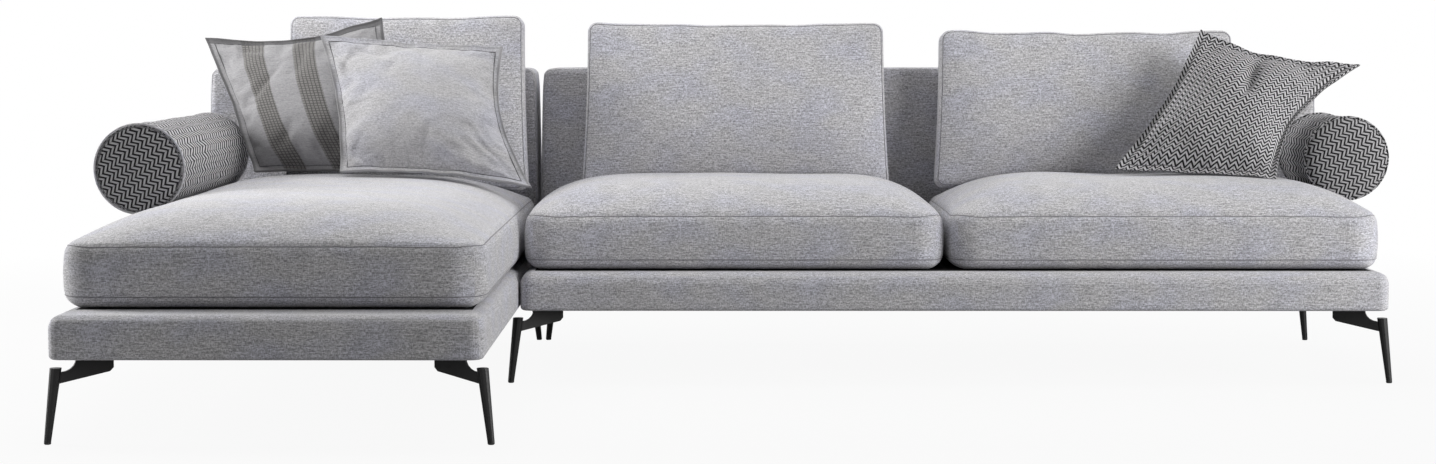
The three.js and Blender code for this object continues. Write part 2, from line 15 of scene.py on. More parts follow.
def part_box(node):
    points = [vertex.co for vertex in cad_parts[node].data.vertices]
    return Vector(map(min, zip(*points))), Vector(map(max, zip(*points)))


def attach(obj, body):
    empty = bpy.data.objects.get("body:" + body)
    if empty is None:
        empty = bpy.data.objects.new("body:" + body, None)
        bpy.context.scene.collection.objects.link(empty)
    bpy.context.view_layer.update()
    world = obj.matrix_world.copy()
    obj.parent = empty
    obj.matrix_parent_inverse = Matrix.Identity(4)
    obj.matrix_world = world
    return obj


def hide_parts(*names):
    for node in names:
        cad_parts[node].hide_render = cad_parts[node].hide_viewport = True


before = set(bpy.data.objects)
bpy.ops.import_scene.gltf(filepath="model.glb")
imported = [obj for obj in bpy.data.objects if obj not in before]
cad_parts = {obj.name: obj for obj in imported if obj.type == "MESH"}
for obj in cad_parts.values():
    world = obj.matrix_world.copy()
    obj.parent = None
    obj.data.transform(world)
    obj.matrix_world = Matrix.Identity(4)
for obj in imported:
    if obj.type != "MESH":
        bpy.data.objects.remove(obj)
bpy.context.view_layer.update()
scene = bpy.context.scene
FULL_TURN = 2 * math.pi
TINY = 1e-6
NEAR_ZERO = 1e-12

# Camera, at the photograph's place and angle
CAMERA_PLACE = (-0.143, -5.869, 0.841)
CAMERA_PITCH = 4.58
CAMERA_YAW = 0.14
CAMERA_LENS = 61.24
CAMERA_SENSOR = 36
CAMERA_SHIFT = 0.0101


def add_camera():
    data = bpy.data.cameras.new("camera")
    data.lens = CAMERA_LENS
    data.sensor_width = CAMERA_SENSOR
    data.shift_x = CAMERA_SHIFT
    camera = bpy.data.objects.new("camera", data)
    camera.location = CAMERA_PLACE
    camera.rotation_euler = (math.radians(90 - CAMERA_PITCH), 0, math.radians(CAMERA_YAW))
    scene.collection.objects.link(camera)
    scene.camera = camera


# Node helpers
class Nodes:
    """Short way to build a node tree: add(type, inputs) returns the new node."""

    def __init__(self, tree):
        self.tree = tree
        tree.nodes.clear()

    def add(self, kind, inputs=None, **settings):
        node = self.tree.nodes.new(kind)
        for key, value in settings.items():
            setattr(node, key, value)
        for key, value in (inputs or {}).items():
            self.join(value, node.inputs[key])
        return node

    def join(self, value, socket):
        if isinstance(value, bpy.types.NodeSocket):
            self.tree.links.new(value, socket)
        else:
            socket.default_value = value

    def math(self, operation, *values, clamp=False):
        inputs = dict(enumerate(values))
        return self.add("ShaderNodeMath", inputs, operation=operation, use_clamp=clamp).outputs[0]

    def vector(self, operation, *values):
        return self.add("ShaderNodeVectorMath", dict(enumerate(values)), operation=operation).outputs

    def mix(self, factor, first, second, blend="MIX"):
        node = self.add("ShaderNodeMix", data_type="RGBA", blend_type=blend)
        for socket, value in ((0, factor), (6, first), (7, second)):
            self.join(value, node.inputs[socket])
        return node.outputs[2]

    def noise(self, vector, scale, detail=2.0, roughness=0.5):
        node = self.add("ShaderNodeTexNoise", {"Vector": vector, "Scale": scale, "Detail": detail,
                                               "Roughness": roughness})
        return node.outputs["Fac"]

    def stretch(self, vector, scale):
        return self.add("ShaderNodeMapping", {"Vector": vector, "Scale": scale}).outputs[0]

    def span(self, value, low, high, out_low=0.0, out_high=1.0):
        node = self.add("ShaderNodeMapRange", {"Value": value, "From Min": low, "From Max": high,
                                               "To Min": out_low, "To Max": out_high})
        return node.outputs[0]

    def bump(self, height, strength, distance):
        node = self.add("ShaderNodeBump", {"Height": height, "Strength": strength, "Distance": distance})
        return node.outputs[0]

    def parts(self, vector):
        return self.add("ShaderNodeSeparateXYZ", {0: vector}).outputs

    def weave_uv(self):
        return self.add("ShaderNodeUVMap", uv_map="weave").outputs[0]

    def place(self):
        return self.add("ShaderNodeTexCoord").outputs["Object"]

    def surface(self, inputs):
        shader = self.add("ShaderNodeBsdfPrincipled", inputs)
        self.add("ShaderNodeOutputMaterial", {"Surface": shader.outputs[0]})


def new_material(name):
    material = bpy.data.materials.new(name)
    material.use_nodes = True
    return material, Nodes(material.node_tree)


# Fabrics. The weave coordinates are metres, so a stretch of 400 gives threads 2.5 mm apart
COOL_TINT = (1.0, 0.985, 1.01)
LINEN_TINT = (1.0, 0.985, 1.005)
FABRIC_ROUGHNESS = 0.95
FABRIC_SPECULAR = 0.15
FABRIC_BUMP_DISTANCE = 0.001
SHEEN_ROUGHNESS = 0.55
UPHOLSTERY_SHEEN = 0.25
UPHOLSTERY_BUMP = 0.6
UPHOLSTERY_SPAN = (0.42, 0.58)
PATCH_STRETCH = (7, 11, 1)
PATCH_SPAN = (0.42, 0.68, 0.0, 0.6)
PATCH_COLOR = (0.93, 0.95, 1.07, 1.0)
# Painted shade on the outer strip of a pillow's flange: width, share and tone
HEM_SHADE_WIDTH = 0.01
HEM_SHADE_SHARE = 0.8
PLAIN_HEM_SHADE_TONE = 0.8
# Each set of threads: stretch, detail, roughness and share of the weave's height; the last one is the slubs
WEAVE_THREADS = (
    ((125, 400, 1), 2.5, 0.7, 0.45),
    ((400, 155, 1), 2.5, 0.7, 0.33),
    ((24, 290, 1), 2.0, 0.6, 0.22),
)


def grey(value, tint=COOL_TINT):
    return (value * tint[0], value * tint[1], value * tint[2], 1.0)


def finish_fabric(nodes, color, height, bump, sheen):
    nodes.surface({
        "Base Color": color,
        "Roughness": FABRIC_ROUGHNESS,
        "Specular IOR Level": FABRIC_SPECULAR,
        "Sheen Weight": sheen,
        "Sheen Roughness": SHEEN_ROUGHNESS,
        "Normal": nodes.bump(height, bump, FABRIC_BUMP_DISTANCE),
    })


def weave_height(nodes, uv, slub_contrast=1.0):
    """Linen-like weave from two sets of uneven threads, with longer slubs along the horizontal one."""
    height = None
    for (stretch, detail, roughness, share), contrast in zip(WEAVE_THREADS, (1.0, 1.0, slub_contrast)):
        threads = nodes.noise(nodes.stretch(uv, stretch), 1.0, detail, roughness)
        part = nodes.math("MULTIPLY", threads, share * contrast)
        height = part if height is None else nodes.math("ADD", height, part)
    return height


def painted_hem_shade(nodes, uv, color, half, tone):
    """Painted shade: darkens the outermost strip of a pillow's flange at its sides and bottom, where its
    rolled edge falls in shadow.
    """
    u, v, _ = nodes.parts(uv)
    outer = nodes.math("MAXIMUM", nodes.math("ABSOLUTE", u), nodes.math("MULTIPLY", v, -1.0))
    return nodes.mix(nodes.span(outer, half - HEM_SHADE_WIDTH, half - HEM_SHADE_WIDTH / 2, 0.0, HEM_SHADE_SHARE), color, tone)


def upholstery(name, light, dark, tint=COOL_TINT, hem=None):
    """Heathered plain weave. A hem is half the width of the pillow that carries it, and darkens the flange's
    outer strip as painted shade.
    """
    material, nodes = new_material(name)
    uv = nodes.weave_uv()
    height = weave_height(nodes, uv)
    color = nodes.mix(nodes.span(height, *UPHOLSTERY_SPAN), grey(dark, tint), grey(light, tint))
    patches = nodes.noise(nodes.stretch(uv, PATCH_STRETCH), 1.0, 1.0)
    color = nodes.mix(nodes.span(patches, *PATCH_SPAN), color, PATCH_COLOR, "MULTIPLY")
    if hem:
        color = painted_hem_shade(nodes, uv, color, hem, grey(dark * PLAIN_HEM_SHADE_TONE, tint))
    finish_fabric(nodes, color, height, UPHOLSTERY_BUMP, UPHOLSTERY_SHEEN)
    return material


# Herringbone weave
ZIGZAG_PERIOD = 0.025
ZIGZAG_SPACING = 0.0122
ZIGZAG_AMPLITUDE = 0.0127
ZIGZAG_DARK = 0.005
ZIGZAG_DRIFT = (0.005, 0.005, 0.0)
ZIGZAG_DRIFT_SCALE = 22.0
STROKE_SPAN = (0.44, 0.56)
STROKE_END_SPAN = (0.0, 0.1, 0.55, 1.0)
STROKE_HEIGHT_SHARE = 0.9
FUZZ_STRETCH = (900, 900, 1)
FUZZ_SPAN = (0.3, 0.7, -0.16, 0.16)
FUZZ_HEIGHT_SHARE = 0.35
HERRINGBONE_BUMP = 0.8
HERRINGBONE_SHEEN = 0.06


def triangle_wave(nodes, value):
    return nodes.math("MULTIPLY", nodes.math("PINGPONG", value, 0.5), 2.0)


def herringbone(name, light, scale, turn):
    """Short dark and light strokes in zigzags, which run at the given turn to the weave's u axis."""
    material, nodes = new_material(name)
    uv = nodes.weave_uv()
    warp = nodes.add("ShaderNodeTexNoise", {"Vector": uv, "Scale": ZIGZAG_DRIFT_SCALE, "Detail": 1.0})
    drift = nodes.vector("MULTIPLY", warp.outputs["Color"], ZIGZAG_DRIFT)[0]
    place = nodes.vector("ADD", uv, drift)[0]
    turned = nodes.add("ShaderNodeVectorRotate", {"Vector": place, "Angle": turn}, rotation_type="Z_AXIS")
    across, along, _ = nodes.parts(turned.outputs[0])
    zigzag = triangle_wave(nodes, nodes.math("DIVIDE", across, ZIGZAG_PERIOD * scale))
    rows = nodes.math("DIVIDE", along, ZIGZAG_SPACING * scale)
    phase = nodes.math("MULTIPLY_ADD", zigzag, ZIGZAG_AMPLITUDE / ZIGZAG_SPACING, rows)
    stroke = nodes.span(triangle_wave(nodes, phase), *STROKE_SPAN)
    ends = nodes.math("MINIMUM", zigzag, nodes.math("SUBTRACT", 1.0, zigzag))
    pale = nodes.math("MULTIPLY", stroke, nodes.span(ends, *STROKE_END_SPAN))
    fuzz = nodes.noise(nodes.stretch(uv, FUZZ_STRETCH), 1.0, 2.0)
    share = nodes.math("ADD", pale, nodes.span(fuzz, *FUZZ_SPAN), clamp=True)
    color = nodes.mix(share, grey(ZIGZAG_DARK), grey(light))
    strokes = nodes.math("MULTIPLY", pale, STROKE_HEIGHT_SHARE)
    height = nodes.math("MULTIPLY_ADD", fuzz, FUZZ_HEIGHT_SHARE, strokes)
    finish_fabric(nodes, color, height, HERRINGBONE_BUMP, HERRINGBONE_SHEEN)
    return material


# Striped linen: each band lies between two shares of the pillow's width
STRIPED_BAND_SHARES = ((0.19, 0.32), (0.48, 0.61))
STRIPED_SPAN = (0.36, 0.62)
STRIPED_SLUB_CONTRAST = 1.3
STRIPED_BUMP = 0.7
STRIPED_SHEEN = 0.2
# Painted shade on the hems: tone of the side and bottom strip, then tone, share and blend over the top flange
STRIPED_HEM_SHADE_TONE = 0.5
TOP_HEM_SHADE_TONE = 0.4
TOP_HEM_SHADE_SHARE = 0.75
TOP_HEM_SHADE_BLEND = 0.003
BAND_BLEND = 0.002
BAND_STEPS = (0.0095, 0.0075)
BAND_WOBBLE = 0.003
BAND_WOBBLE_STRETCH = (60, 60, 1)
BAND_LINE_SPAN = (0.06, 0.2, 1.0, 0.0)
BAND_GROUND_TINT = (0.66, 0.635, 0.61)
BAND_LINE_TINT = (0.4, 0.385, 0.37)
BAND_SHADE_TONE = 0.35
BAND_SHADE_SHARE = 0.5


def band_mask(nodes, across, half):
    inside = None
    for low, high in STRIPED_BAND_SHARES:
        middle = ((low + high) / 2 - 0.5) * 2 * half
        width = (high - low) * half
        distance = nodes.math("ABSOLUTE", nodes.math("SUBTRACT", across, middle))
        band = nodes.span(distance, width - BAND_BLEND, width + BAND_BLEND, 1.0, 0.0)
        inside = band if inside is None else nodes.math("MAXIMUM", inside, band)
    return inside


def band_grid(nodes, uv):
    """Wavering dark lines both ways, as in an open weave."""
    lines = []
    for axis, step in enumerate(BAND_STEPS):
        wobble = nodes.noise(nodes.stretch(uv, BAND_WOBBLE_STRETCH), 1.0, 1.0)
        place = nodes.math("MULTIPLY_ADD", wobble, BAND_WOBBLE, nodes.parts(uv)[axis])
        wave = nodes.math("PINGPONG", nodes.math("DIVIDE", place, step), 0.5)
        lines.append(nodes.span(wave, *BAND_LINE_SPAN))
    return nodes.math("MAXIMUM", *lines)


def striped(name, light, dark, half):
    """Pale linen weave with darker bands in an open grid weave, and painted shade on the hem along the top
    and on the outer strip of the sides and bottom.
    """
    material, nodes = new_material(name)
    uv = nodes.weave_uv()
    across, upwards, _ = nodes.parts(uv)
    height = weave_height(nodes, uv, STRIPED_SLUB_CONTRAST)
    plain = nodes.mix(nodes.span(height, *STRIPED_SPAN), grey(dark), grey(light))
    band = nodes.mix(band_grid(nodes, uv), grey(light, BAND_GROUND_TINT), grey(dark, BAND_LINE_TINT))
    shade = nodes.span(height, *STRIPED_SPAN, BAND_SHADE_SHARE, 0.0)
    band = nodes.mix(shade, band, grey(dark * BAND_SHADE_TONE))
    color = nodes.mix(band_mask(nodes, across, half), plain, band)
    seam = half - PILLOW_FLANGE
    # Painted shade over the top flange
    top_hem_shade = nodes.span(upwards, seam - TOP_HEM_SHADE_BLEND, seam, 0.0, TOP_HEM_SHADE_SHARE)
    color = nodes.mix(top_hem_shade, color, grey(dark * TOP_HEM_SHADE_TONE))
    # Painted shade on the outer strip of the flange at the sides and bottom
    color = painted_hem_shade(nodes, uv, color, half, grey(dark * STRIPED_HEM_SHADE_TONE))
    finish_fabric(nodes, color, height, STRIPED_BUMP, STRIPED_SHEEN)
    return material


# Materials of the frame
SPECKLE_SPAN = (0.3, 0.7)
SPECKLE_BUMP_DISTANCE = 0.0005
SPECKLE_ROUGHNESS_SPREAD = 0.06
SPECKLE_ROUGHNESS_SIZE = 8
GRAIN_STRETCH = (6, 90, 90)
WOOD_DARK = (0.42, 0.27, 0.14, 1.0)
WOOD_LIGHT = (0.66, 0.47, 0.28, 1.0)
WOOD_ROUGHNESS = 0.65
WOOD_BUMP = 0.2
WOOD_BUMP_DISTANCE = 0.0006


def speckled(name, low, high, roughness, metallic, size, bump, specular):
    """Fine speckle between two greys, with the roughness uneven on a larger scale."""
    material, nodes = new_material(name)
    place = nodes.place()
    spots = nodes.noise(place, size, 3.0)
    smears = nodes.noise(place, size / SPECKLE_ROUGHNESS_SIZE, 2.0)
    nodes.surface({
        "Base Color": nodes.mix(spots, grey(low), grey(high)),
        "Roughness": nodes.span(smears, *SPECKLE_SPAN, roughness - SPECKLE_ROUGHNESS_SPREAD,
                                roughness + SPECKLE_ROUGHNESS_SPREAD),
        "Metallic": metallic,
        "Specular IOR Level": specular,
        "Normal": nodes.bump(spots, bump, SPECKLE_BUMP_DISTANCE),
    })
    return material


def wood(name):
    material, nodes = new_material(name)
    grain = nodes.noise(nodes.stretch(nodes.place(), GRAIN_STRETCH), 1.0, 4.0, 0.6)
    nodes.surface({
        "Base Color": nodes.mix(grain, WOOD_DARK, WOOD_LIGHT),
        "Roughness": WOOD_ROUGHNESS,
        "Normal": nodes.bump(grain, WOOD_BUMP, WOOD_BUMP_DISTANCE),
    })
    return material


def paint_nodes(material, *endings):
    for name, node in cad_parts.items():
        if name.endswith(endings):
            for slot in node.material_slots:
                slot.material = material


# Floor, backdrop and light
FLOOR_REACH = 14.0
FLOOR_TONE_SPAN = (0.3, 0.7, 0.4, 0.42)
FLOOR_TONE_SCALE = 2.0
FLOOR_GLOW_SPAN = (1.6, 4.5, 0.93, 1.0)
WHITE = (1, 1, 1, 1)
AMBIENT = 0.02
# Each lamp: place, the point that it faces, width and height, and power in watts
LAMPS = {
    "left_box": ((-3.8, 0.1, 1.2), (-1.0, 0.2, 0.5), (1.4, 1.6), 84),
    "right_box": ((4.0, -1.0, 1.0), (0.6, 0.0, 0.3), (1.4, 1.6), 44),
    "right_front_box": ((4.5, -2.6, 1.7), (0.6, 0.0, 0.4), (2.0, 2.0), 132),
    "left_front_box": ((-3.6, -3.0, 1.4), (-0.5, 0.0, 0.4), (1.4, 1.8), 10),
    "chaise_top_box": ((-1.3, -0.1, 2.3), (-1.1, -0.3, 0.4), (0.9, 1.5), 21),
    "right_top_box": ((0.9, 0.3, 2.8), (0.9, 0.4, 0.0), (1.8, 1.2), 16),
    "top_rear_box": ((0.0, 1.9, 2.4), (0.0, 0.4, 0.4), (4.0, 1.0), 30),
    "back_box": ((0.0, 4.6, 1.9), (0.0, 0.9, 0.4), (4.0, 1.6), 60),
}


def add_floor():
    """Pale floor that the camera sees nearly white, and that keeps the object's shadow."""
    material, nodes = new_material("floor")
    camera_ray = nodes.add("ShaderNodeLightPath").outputs["Is Camera Ray"]
    place = nodes.place()
    shade = nodes.span(nodes.noise(place, FLOOR_TONE_SCALE), *FLOOR_TONE_SPAN)
    color = nodes.add("ShaderNodeCombineColor", {0: shade, 1: shade, 2: shade}).outputs[0]
    diffuse = nodes.add("ShaderNodeBsdfDiffuse", {"Color": color})
    glow = nodes.add("ShaderNodeEmission", {"Color": WHITE, "Strength": 1.0})
    distance = nodes.vector("LENGTH", place)["Value"]
    share = nodes.math("MULTIPLY", camera_ray, nodes.span(distance, *FLOOR_GLOW_SPAN))
    mixed = nodes.add("ShaderNodeMixShader", {0: share, 1: diffuse.outputs[0], 2: glow.outputs[0]})
    nodes.add("ShaderNodeOutputMaterial", {"Surface": mixed.outputs[0]})
    corners = [(x * FLOOR_REACH, y * FLOOR_REACH, 0) for x, y in ((-1, -1), (1, -1), (1, 1), (-1, 1))]
    floor = add_mesh("floor", corners, [(0, 1, 2, 3)], None, material)


def add_world():
    world = bpy.data.worlds.new("studio")
    scene.world = world
    world.use_nodes = True
    sky = Nodes(world.node_tree)
    path = sky.add("ShaderNodeLightPath")
    seen = sky.math("MAXIMUM", path.outputs["Is Camera Ray"], path.outputs["Is Glossy Ray"])
    seen = sky.math("MAXIMUM", seen, path.outputs["Is Transmission Ray"])
    ambient = sky.add("ShaderNodeBackground", {"Color": WHITE, "Strength": AMBIENT})
    white = sky.add("ShaderNodeBackground", {"Color": WHITE, "Strength": 1.0})
    mixed = sky.add("ShaderNodeMixShader", {0: seen, 1: ambient.outputs[0], 2: white.outputs[0]})
    sky.add("ShaderNodeOutputWorld", {"Surface": mixed.outputs[0]})


def add_lamp(name, place, target, size, power):
    data = bpy.data.lights.new(name, "AREA")
    data.shape = "RECTANGLE"
    data.size, data.size_y = size
    data.energy = power
    lamp = bpy.data.objects.new(name, data)
    lamp.location = place
    lamp.rotation_euler = (Vector(target) - Vector(place)).to_track_quat("-Z", "Y").to_euler()
    scene.collection.objects.link(lamp)


# Mesh helpers
EDGE_STEPS = 4
SEAM_CLEARANCE = 0.0015
SIDE_AXES = ((1, 2), (1, 2), (0, 2), (0, 2), (0, 1), (0, 1))
RIPPLE_WAVES = 5
RIPPLE_DECAY = 0.55
RIPPLE_GROWTH = 1.8
TUBE_SIDEWAYS = (0.3, 0.5, 0.81)
WELT_RADIUS = 0.0012
PUSH_LIMIT = 0.08
PUCKER_SIZE = 0.045
PUCKER_CALM_SIZE = 0.31
OTHER_SIDE = 3.0


def axis_lines(half, edge, cell, seams=()):
    """Grid lines from -half to half: even cells in the middle and an even turn round each edge."""
    flat = half - edge
    count = max(2, round(2 * flat / cell))
    turns = edge * np.tan(np.linspace(0, math.pi / 4, EDGE_STEPS + 1)[1:])
    lines = list(np.linspace(-flat, flat, count + 1)) + list(flat + turns) + list(-flat - turns)
    kept = [line for line in lines if all(abs(line - seam) > SEAM_CLEARANCE for seam in seams)]
    return np.array(sorted(kept + list(seams)))


def lattice_box(lines):
    """Quads over the surface of a box of grid lines: lattice points, faces and each face's side."""
    counts = [len(axis) for axis in lines]
    index = {}
    places = []

    def vertex(place):
        if place not in index:
            index[place] = len(places)
            places.append(place)
        return index[place]

    faces = []
    sides = []
    for axis in range(3):
        first, second = [other for other in range(3) if other != axis]
        for end in (0, 1):
            level = end * (counts[axis] - 1)
            for i in range(counts[first] - 1):
                for j in range(counts[second] - 1):
                    ring = []
                    for step_i, step_j in ((0, 0), (1, 0), (1, 1), (0, 1)):
                        place = [level] * 3
                        place[first] = i + step_i
                        place[second] = j + step_j
                        ring.append(vertex(tuple(place)))
                    turned = (end == 0) != (axis == 1)
                    faces.append(ring[::-1] if turned else ring)
                    sides.append(2 * axis + end)
    places = np.array(places)
    points = np.stack([lines[axis][places[:, axis]] for axis in range(3)], axis=1)
    return points, np.array(faces), np.array(sides), places


def round_box(points, half, edge, corner):
    """Rounds the box's plan corners with one radius and its upper and lower borders with the other."""
    limits = np.array(half)
    core = np.clip(points[:, :2], -(limits[:2] - corner), limits[:2] - corner)
    offsets = points[:, :2] - core
    reach = np.abs(offsets).max(axis=1)
    unit = offsets / np.maximum(np.linalg.norm(offsets, axis=1), NEAR_ZERO)[:, None]
    level = np.clip(points[:, 2], -(limits[2] - edge), limits[2] - edge)
    border = np.stack([np.maximum(reach - corner + edge, 0), points[:, 2] - level], axis=1)
    longest = np.abs(border).max(axis=1)
    border *= (longest / np.maximum(np.linalg.norm(border, axis=1), NEAR_ZERO))[:, None]
    reach = np.minimum(reach, corner - edge) + border[:, 0]
    return np.column_stack([core + unit * reach[:, None], level + border[:, 1]])


def soft_block(half, edge, corner, cell, seams):
    """Rounded lattice box: its shaped points, plain lattice points, faces, sides and lattice places."""
    lines = [axis_lines(half[axis], edge, cell, seams if axis == 2 else ()) for axis in range(3)]
    plain, faces, sides, places = lattice_box(lines)
    return round_box(plain, half, edge, corner), plain, faces, sides, places


def ripple(points, size, seed, octaves=2):
    """Smooth seeded noise from -1 to 1 with bumps of about that size."""
    rng = np.random.default_rng(seed)
    total = np.zeros(len(points))
    weight = 0.0
    for octave in range(octaves):
        for _ in range(RIPPLE_WAVES):
            direction = rng.normal(size=points.shape[1])
            direction /= np.linalg.norm(direction)
            phase = rng.uniform(0, FULL_TURN)
            turns = points @ direction * (FULL_TURN / size) * RIPPLE_GROWTH ** octave
            total += RIPPLE_DECAY ** octave * np.sin(turns + phase)
            weight += RIPPLE_DECAY ** octave
    return total / weight * 2


def unevenness(points, depth_and_size, seed, share=1.0):
    depth, size = depth_and_size
    return depth * share * ripple(points, size, seed)


def line_ripple(run, row, size, seed, octaves):
    return ripple(np.stack([run, np.full(len(run), row)], axis=1), size, seed, octaves)


def border_dome(points, half, reach, power):
    """1 in the middle of the block's plan and 0 at its border."""
    share = np.clip((half[:2] - np.abs(points[:, :2])) / reach, 0, 1)
    return (1 - (1 - share) ** power).prod(axis=1)


def seam_puckers(plain, half, depth, fade, seed):
    """Small gathers that run in from the border of a face and die out."""
    inset_x = half[0] - np.abs(plain[:, 0])
    inset_y = half[1] - np.abs(plain[:, 1])
    run_x = plain[:, 1] * np.sign(plain[:, 0]) + OTHER_SIDE
    run_y = plain[:, 0] * np.sign(plain[:, 1])
    run = np.where(inset_x < inset_y, run_x, run_y)
    waves = line_ripple(run, 0.0, PUCKER_SIZE, seed, 3)
    calm = 0.5 + 0.5 * line_ripple(run, 1.0, PUCKER_CALM_SIZE, seed + 1, 1)
    return depth * waves * calm * np.exp(-np.maximum(np.minimum(inset_x, inset_y), 0) / fade)


def add_mesh(name, points, faces, uv=None, material=None, body=None):
    mesh = bpy.data.meshes.new(name)
    mesh.from_pydata([tuple(p) for p in points], [], [tuple(int(v) for v in f) for f in faces])
    if uv is not None:
        layer = mesh.uv_layers.new(name="weave")
        layer.data.foreach_set("uv", np.asarray(uv, dtype=np.float32).ravel())
    mesh.polygons.foreach_set("use_smooth", [True] * len(mesh.polygons))
    mesh.update()
    piece = bpy.data.objects.new(name, mesh)
    scene.collection.objects.link(piece)
    if material:
        mesh.materials.append(material)
    if body:
        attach(piece, body)
    return piece


def side_uv(points, faces, sides):
    """Weave coordinates in metres: each face is laid flat along its own side of the box."""
    uv = np.zeros((len(faces), 4, 2))
    for side, axes in enumerate(SIDE_AXES):
        chosen = sides == side
        uv[chosen] = points[faces[chosen]][:, :, axes]
    return uv


def smooth_more(piece):
    modifier = piece.modifiers.new("smooth", "SUBSURF")
    modifier.levels = 1
    modifier.render_levels = 1


def ring_of(places, level):
    """The lattice points of one level in their order round the box."""
    chosen = np.where(places[:, 2] == level)[0]
    flat = places[chosen, :2].astype(float)
    top = flat.max(axis=0)
    edge = ((flat == 0) | (flat == top)).any(axis=1)
    offset = (flat[edge] - top / 2) / (top / 2)
    return chosen[edge][np.argsort(np.arctan2(offset[:, 1], offset[:, 0]))]


def tube(name, path, radius, material, body, sides=8):
    """Thin round welt along a closed path."""
    path = np.asarray(path)
    count = len(path)
    ahead = np.roll(path, -1, axis=0) - np.roll(path, 1, axis=0)
    ahead /= np.linalg.norm(ahead, axis=1)[:, None]
    normal = np.cross(ahead[0], TUBE_SIDEWAYS)
    rows = []
    for tangent in ahead:
        normal = normal - tangent * (normal @ tangent)
        normal = normal / np.linalg.norm(normal)
        rows.append((normal, np.cross(tangent, normal)))
    turns = np.linspace(0, FULL_TURN, sides, endpoint=False)
    points = [
        path[i] + radius * (math.cos(turn) * rows[i][0] + math.sin(turn) * rows[i][1])
        for i in range(count) for turn in turns
    ]
    start, end = rows[0], rows[-1]
    twist = math.atan2(end[0] @ start[1], end[0] @ start[0])
    shift = round(twist / FULL_TURN * sides)
    faces = []
    uv = []
    travel = np.concatenate([[0], np.cumsum(np.linalg.norm(np.diff(path, axis=0), axis=1))])
    for i in range(count):
        step = np.linalg.norm(path[(i + 1) % count] - path[i])
        offset = -shift if i == count - 1 else 0
        high = ((i + 1) % count) * sides
        for j in range(sides):
            following = (j + 1) % sides
            faces.append((i * sides + j, i * sides + following,
                          high + (following + offset) % sides, high + (j + offset) % sides))
            low_v, high_v = j / sides * FULL_TURN * radius, (j + 1) / sides * FULL_TURN * radius
            uv.append(((travel[i], low_v), (travel[i], high_v),
                       (travel[i] + step, high_v), (travel[i] + step, low_v)))
    return add_mesh(name, points, faces, np.array(uv), material, body)


def add_welts(name, points, rings, material, body):
    for part, rows in rings.items():
        welt = tube(f"{name}_{part}", points[rows], WELT_RADIUS, material, body)


def push_out(points, others, gap):
    """Moves points that lie within other pieces to a gap outside them."""
    moved = points.copy()
    for other in others:
        tree = BVHTree.FromObject(other, bpy.context.evaluated_depsgraph_get())
        corners = np.array([vert.co for vert in other.data.vertices])
        low = corners.min(axis=0) - gap
        high = corners.max(axis=0) + gap
        for index in np.where(((moved > low) & (moved < high)).all(axis=1))[0]:
            nearest, normal, _, distance = tree.find_nearest(Vector(moved[index]))
            depth = (Vector(moved[index]) - nearest).dot(normal)
            if depth < gap and distance < PUSH_LIMIT:
                moved[index] = nearest + normal * gap
    return moved


def node_box(*names):
    """Lowest and highest corner round one or more CAD nodes."""
    boxes = [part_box(name) for name in names]
    return np.min([box[0] for box in boxes], axis=0), np.max([box[1] for box in boxes], axis=0)


# Cloth simulation: a loose sheet settles over its filling while its seams are held
CLOTH_FRAMES = 14
CLOTH_SETTINGS = {
    "vertex_group_mass": "held",
    "quality": 5,
    "mass": 0.004,
    "tension_stiffness": 12,
    "compression_stiffness": 12,
    "shear_stiffness": 3,
    "bending_stiffness": 0.03,
    "air_damping": 1.0,
    "use_pressure": True,
}


def settle(points, faces, held, growth, pressure):
    """Settles the points that aren't held, as a sheet larger by the growth that is filled from inside."""
    piece = add_mesh("settling", points, faces)
    group = piece.vertex_groups.new(name="held")
    group.add([int(row) for row in np.where(held)[0]], 1.0, "REPLACE")
    settings = piece.modifiers.new("cloth", "CLOTH").settings
    for key, value in CLOTH_SETTINGS.items():
        setattr(settings, key, value)
    settings.shrink_min = -growth
    settings.uniform_pressure_force = pressure
    settings.effector_weights.gravity = 0
    for moment in range(1, CLOTH_FRAMES + 1):
        scene.frame_set(moment)
    shaped = piece.evaluated_get(bpy.context.evaluated_depsgraph_get()).to_mesh()
    settled = np.array([vert.co for vert in shaped.vertices])
    bpy.data.objects.remove(piece)
    scene.frame_set(1)
    return settled


# Seat cushions. Waves and lumps are the depth and the size of gentle unevenness
SEAT_SIDE = 0.134
SEAT_CROWN = 0.081
SEAT_EDGE = 0.018
SEAT_CORNER = 0.082
SEAT_POWER = 3.7
SEAT_CELL = 0.014
SEAT_CLEARANCE = 0.001
SEAT_SEAM_HEIGHT = 0.026
SEAT_SEAM_DEPTH = 0.001
SEAT_TUCK = 0.034
SEAT_TUCK_SHARE = 0.6
SEAT_LIFT = 0.007
SEAT_SWELL = 0.007
SEAT_SWELL_FADE = 0.03
SEAT_WAVES = (0.003, 0.42)
SEAT_PUCKERS = (0.0012, 0.02)
SEAT_FRONT_WAVES = (0.0015, 0.19)
SEAT_BAR_SHARE = 0.2


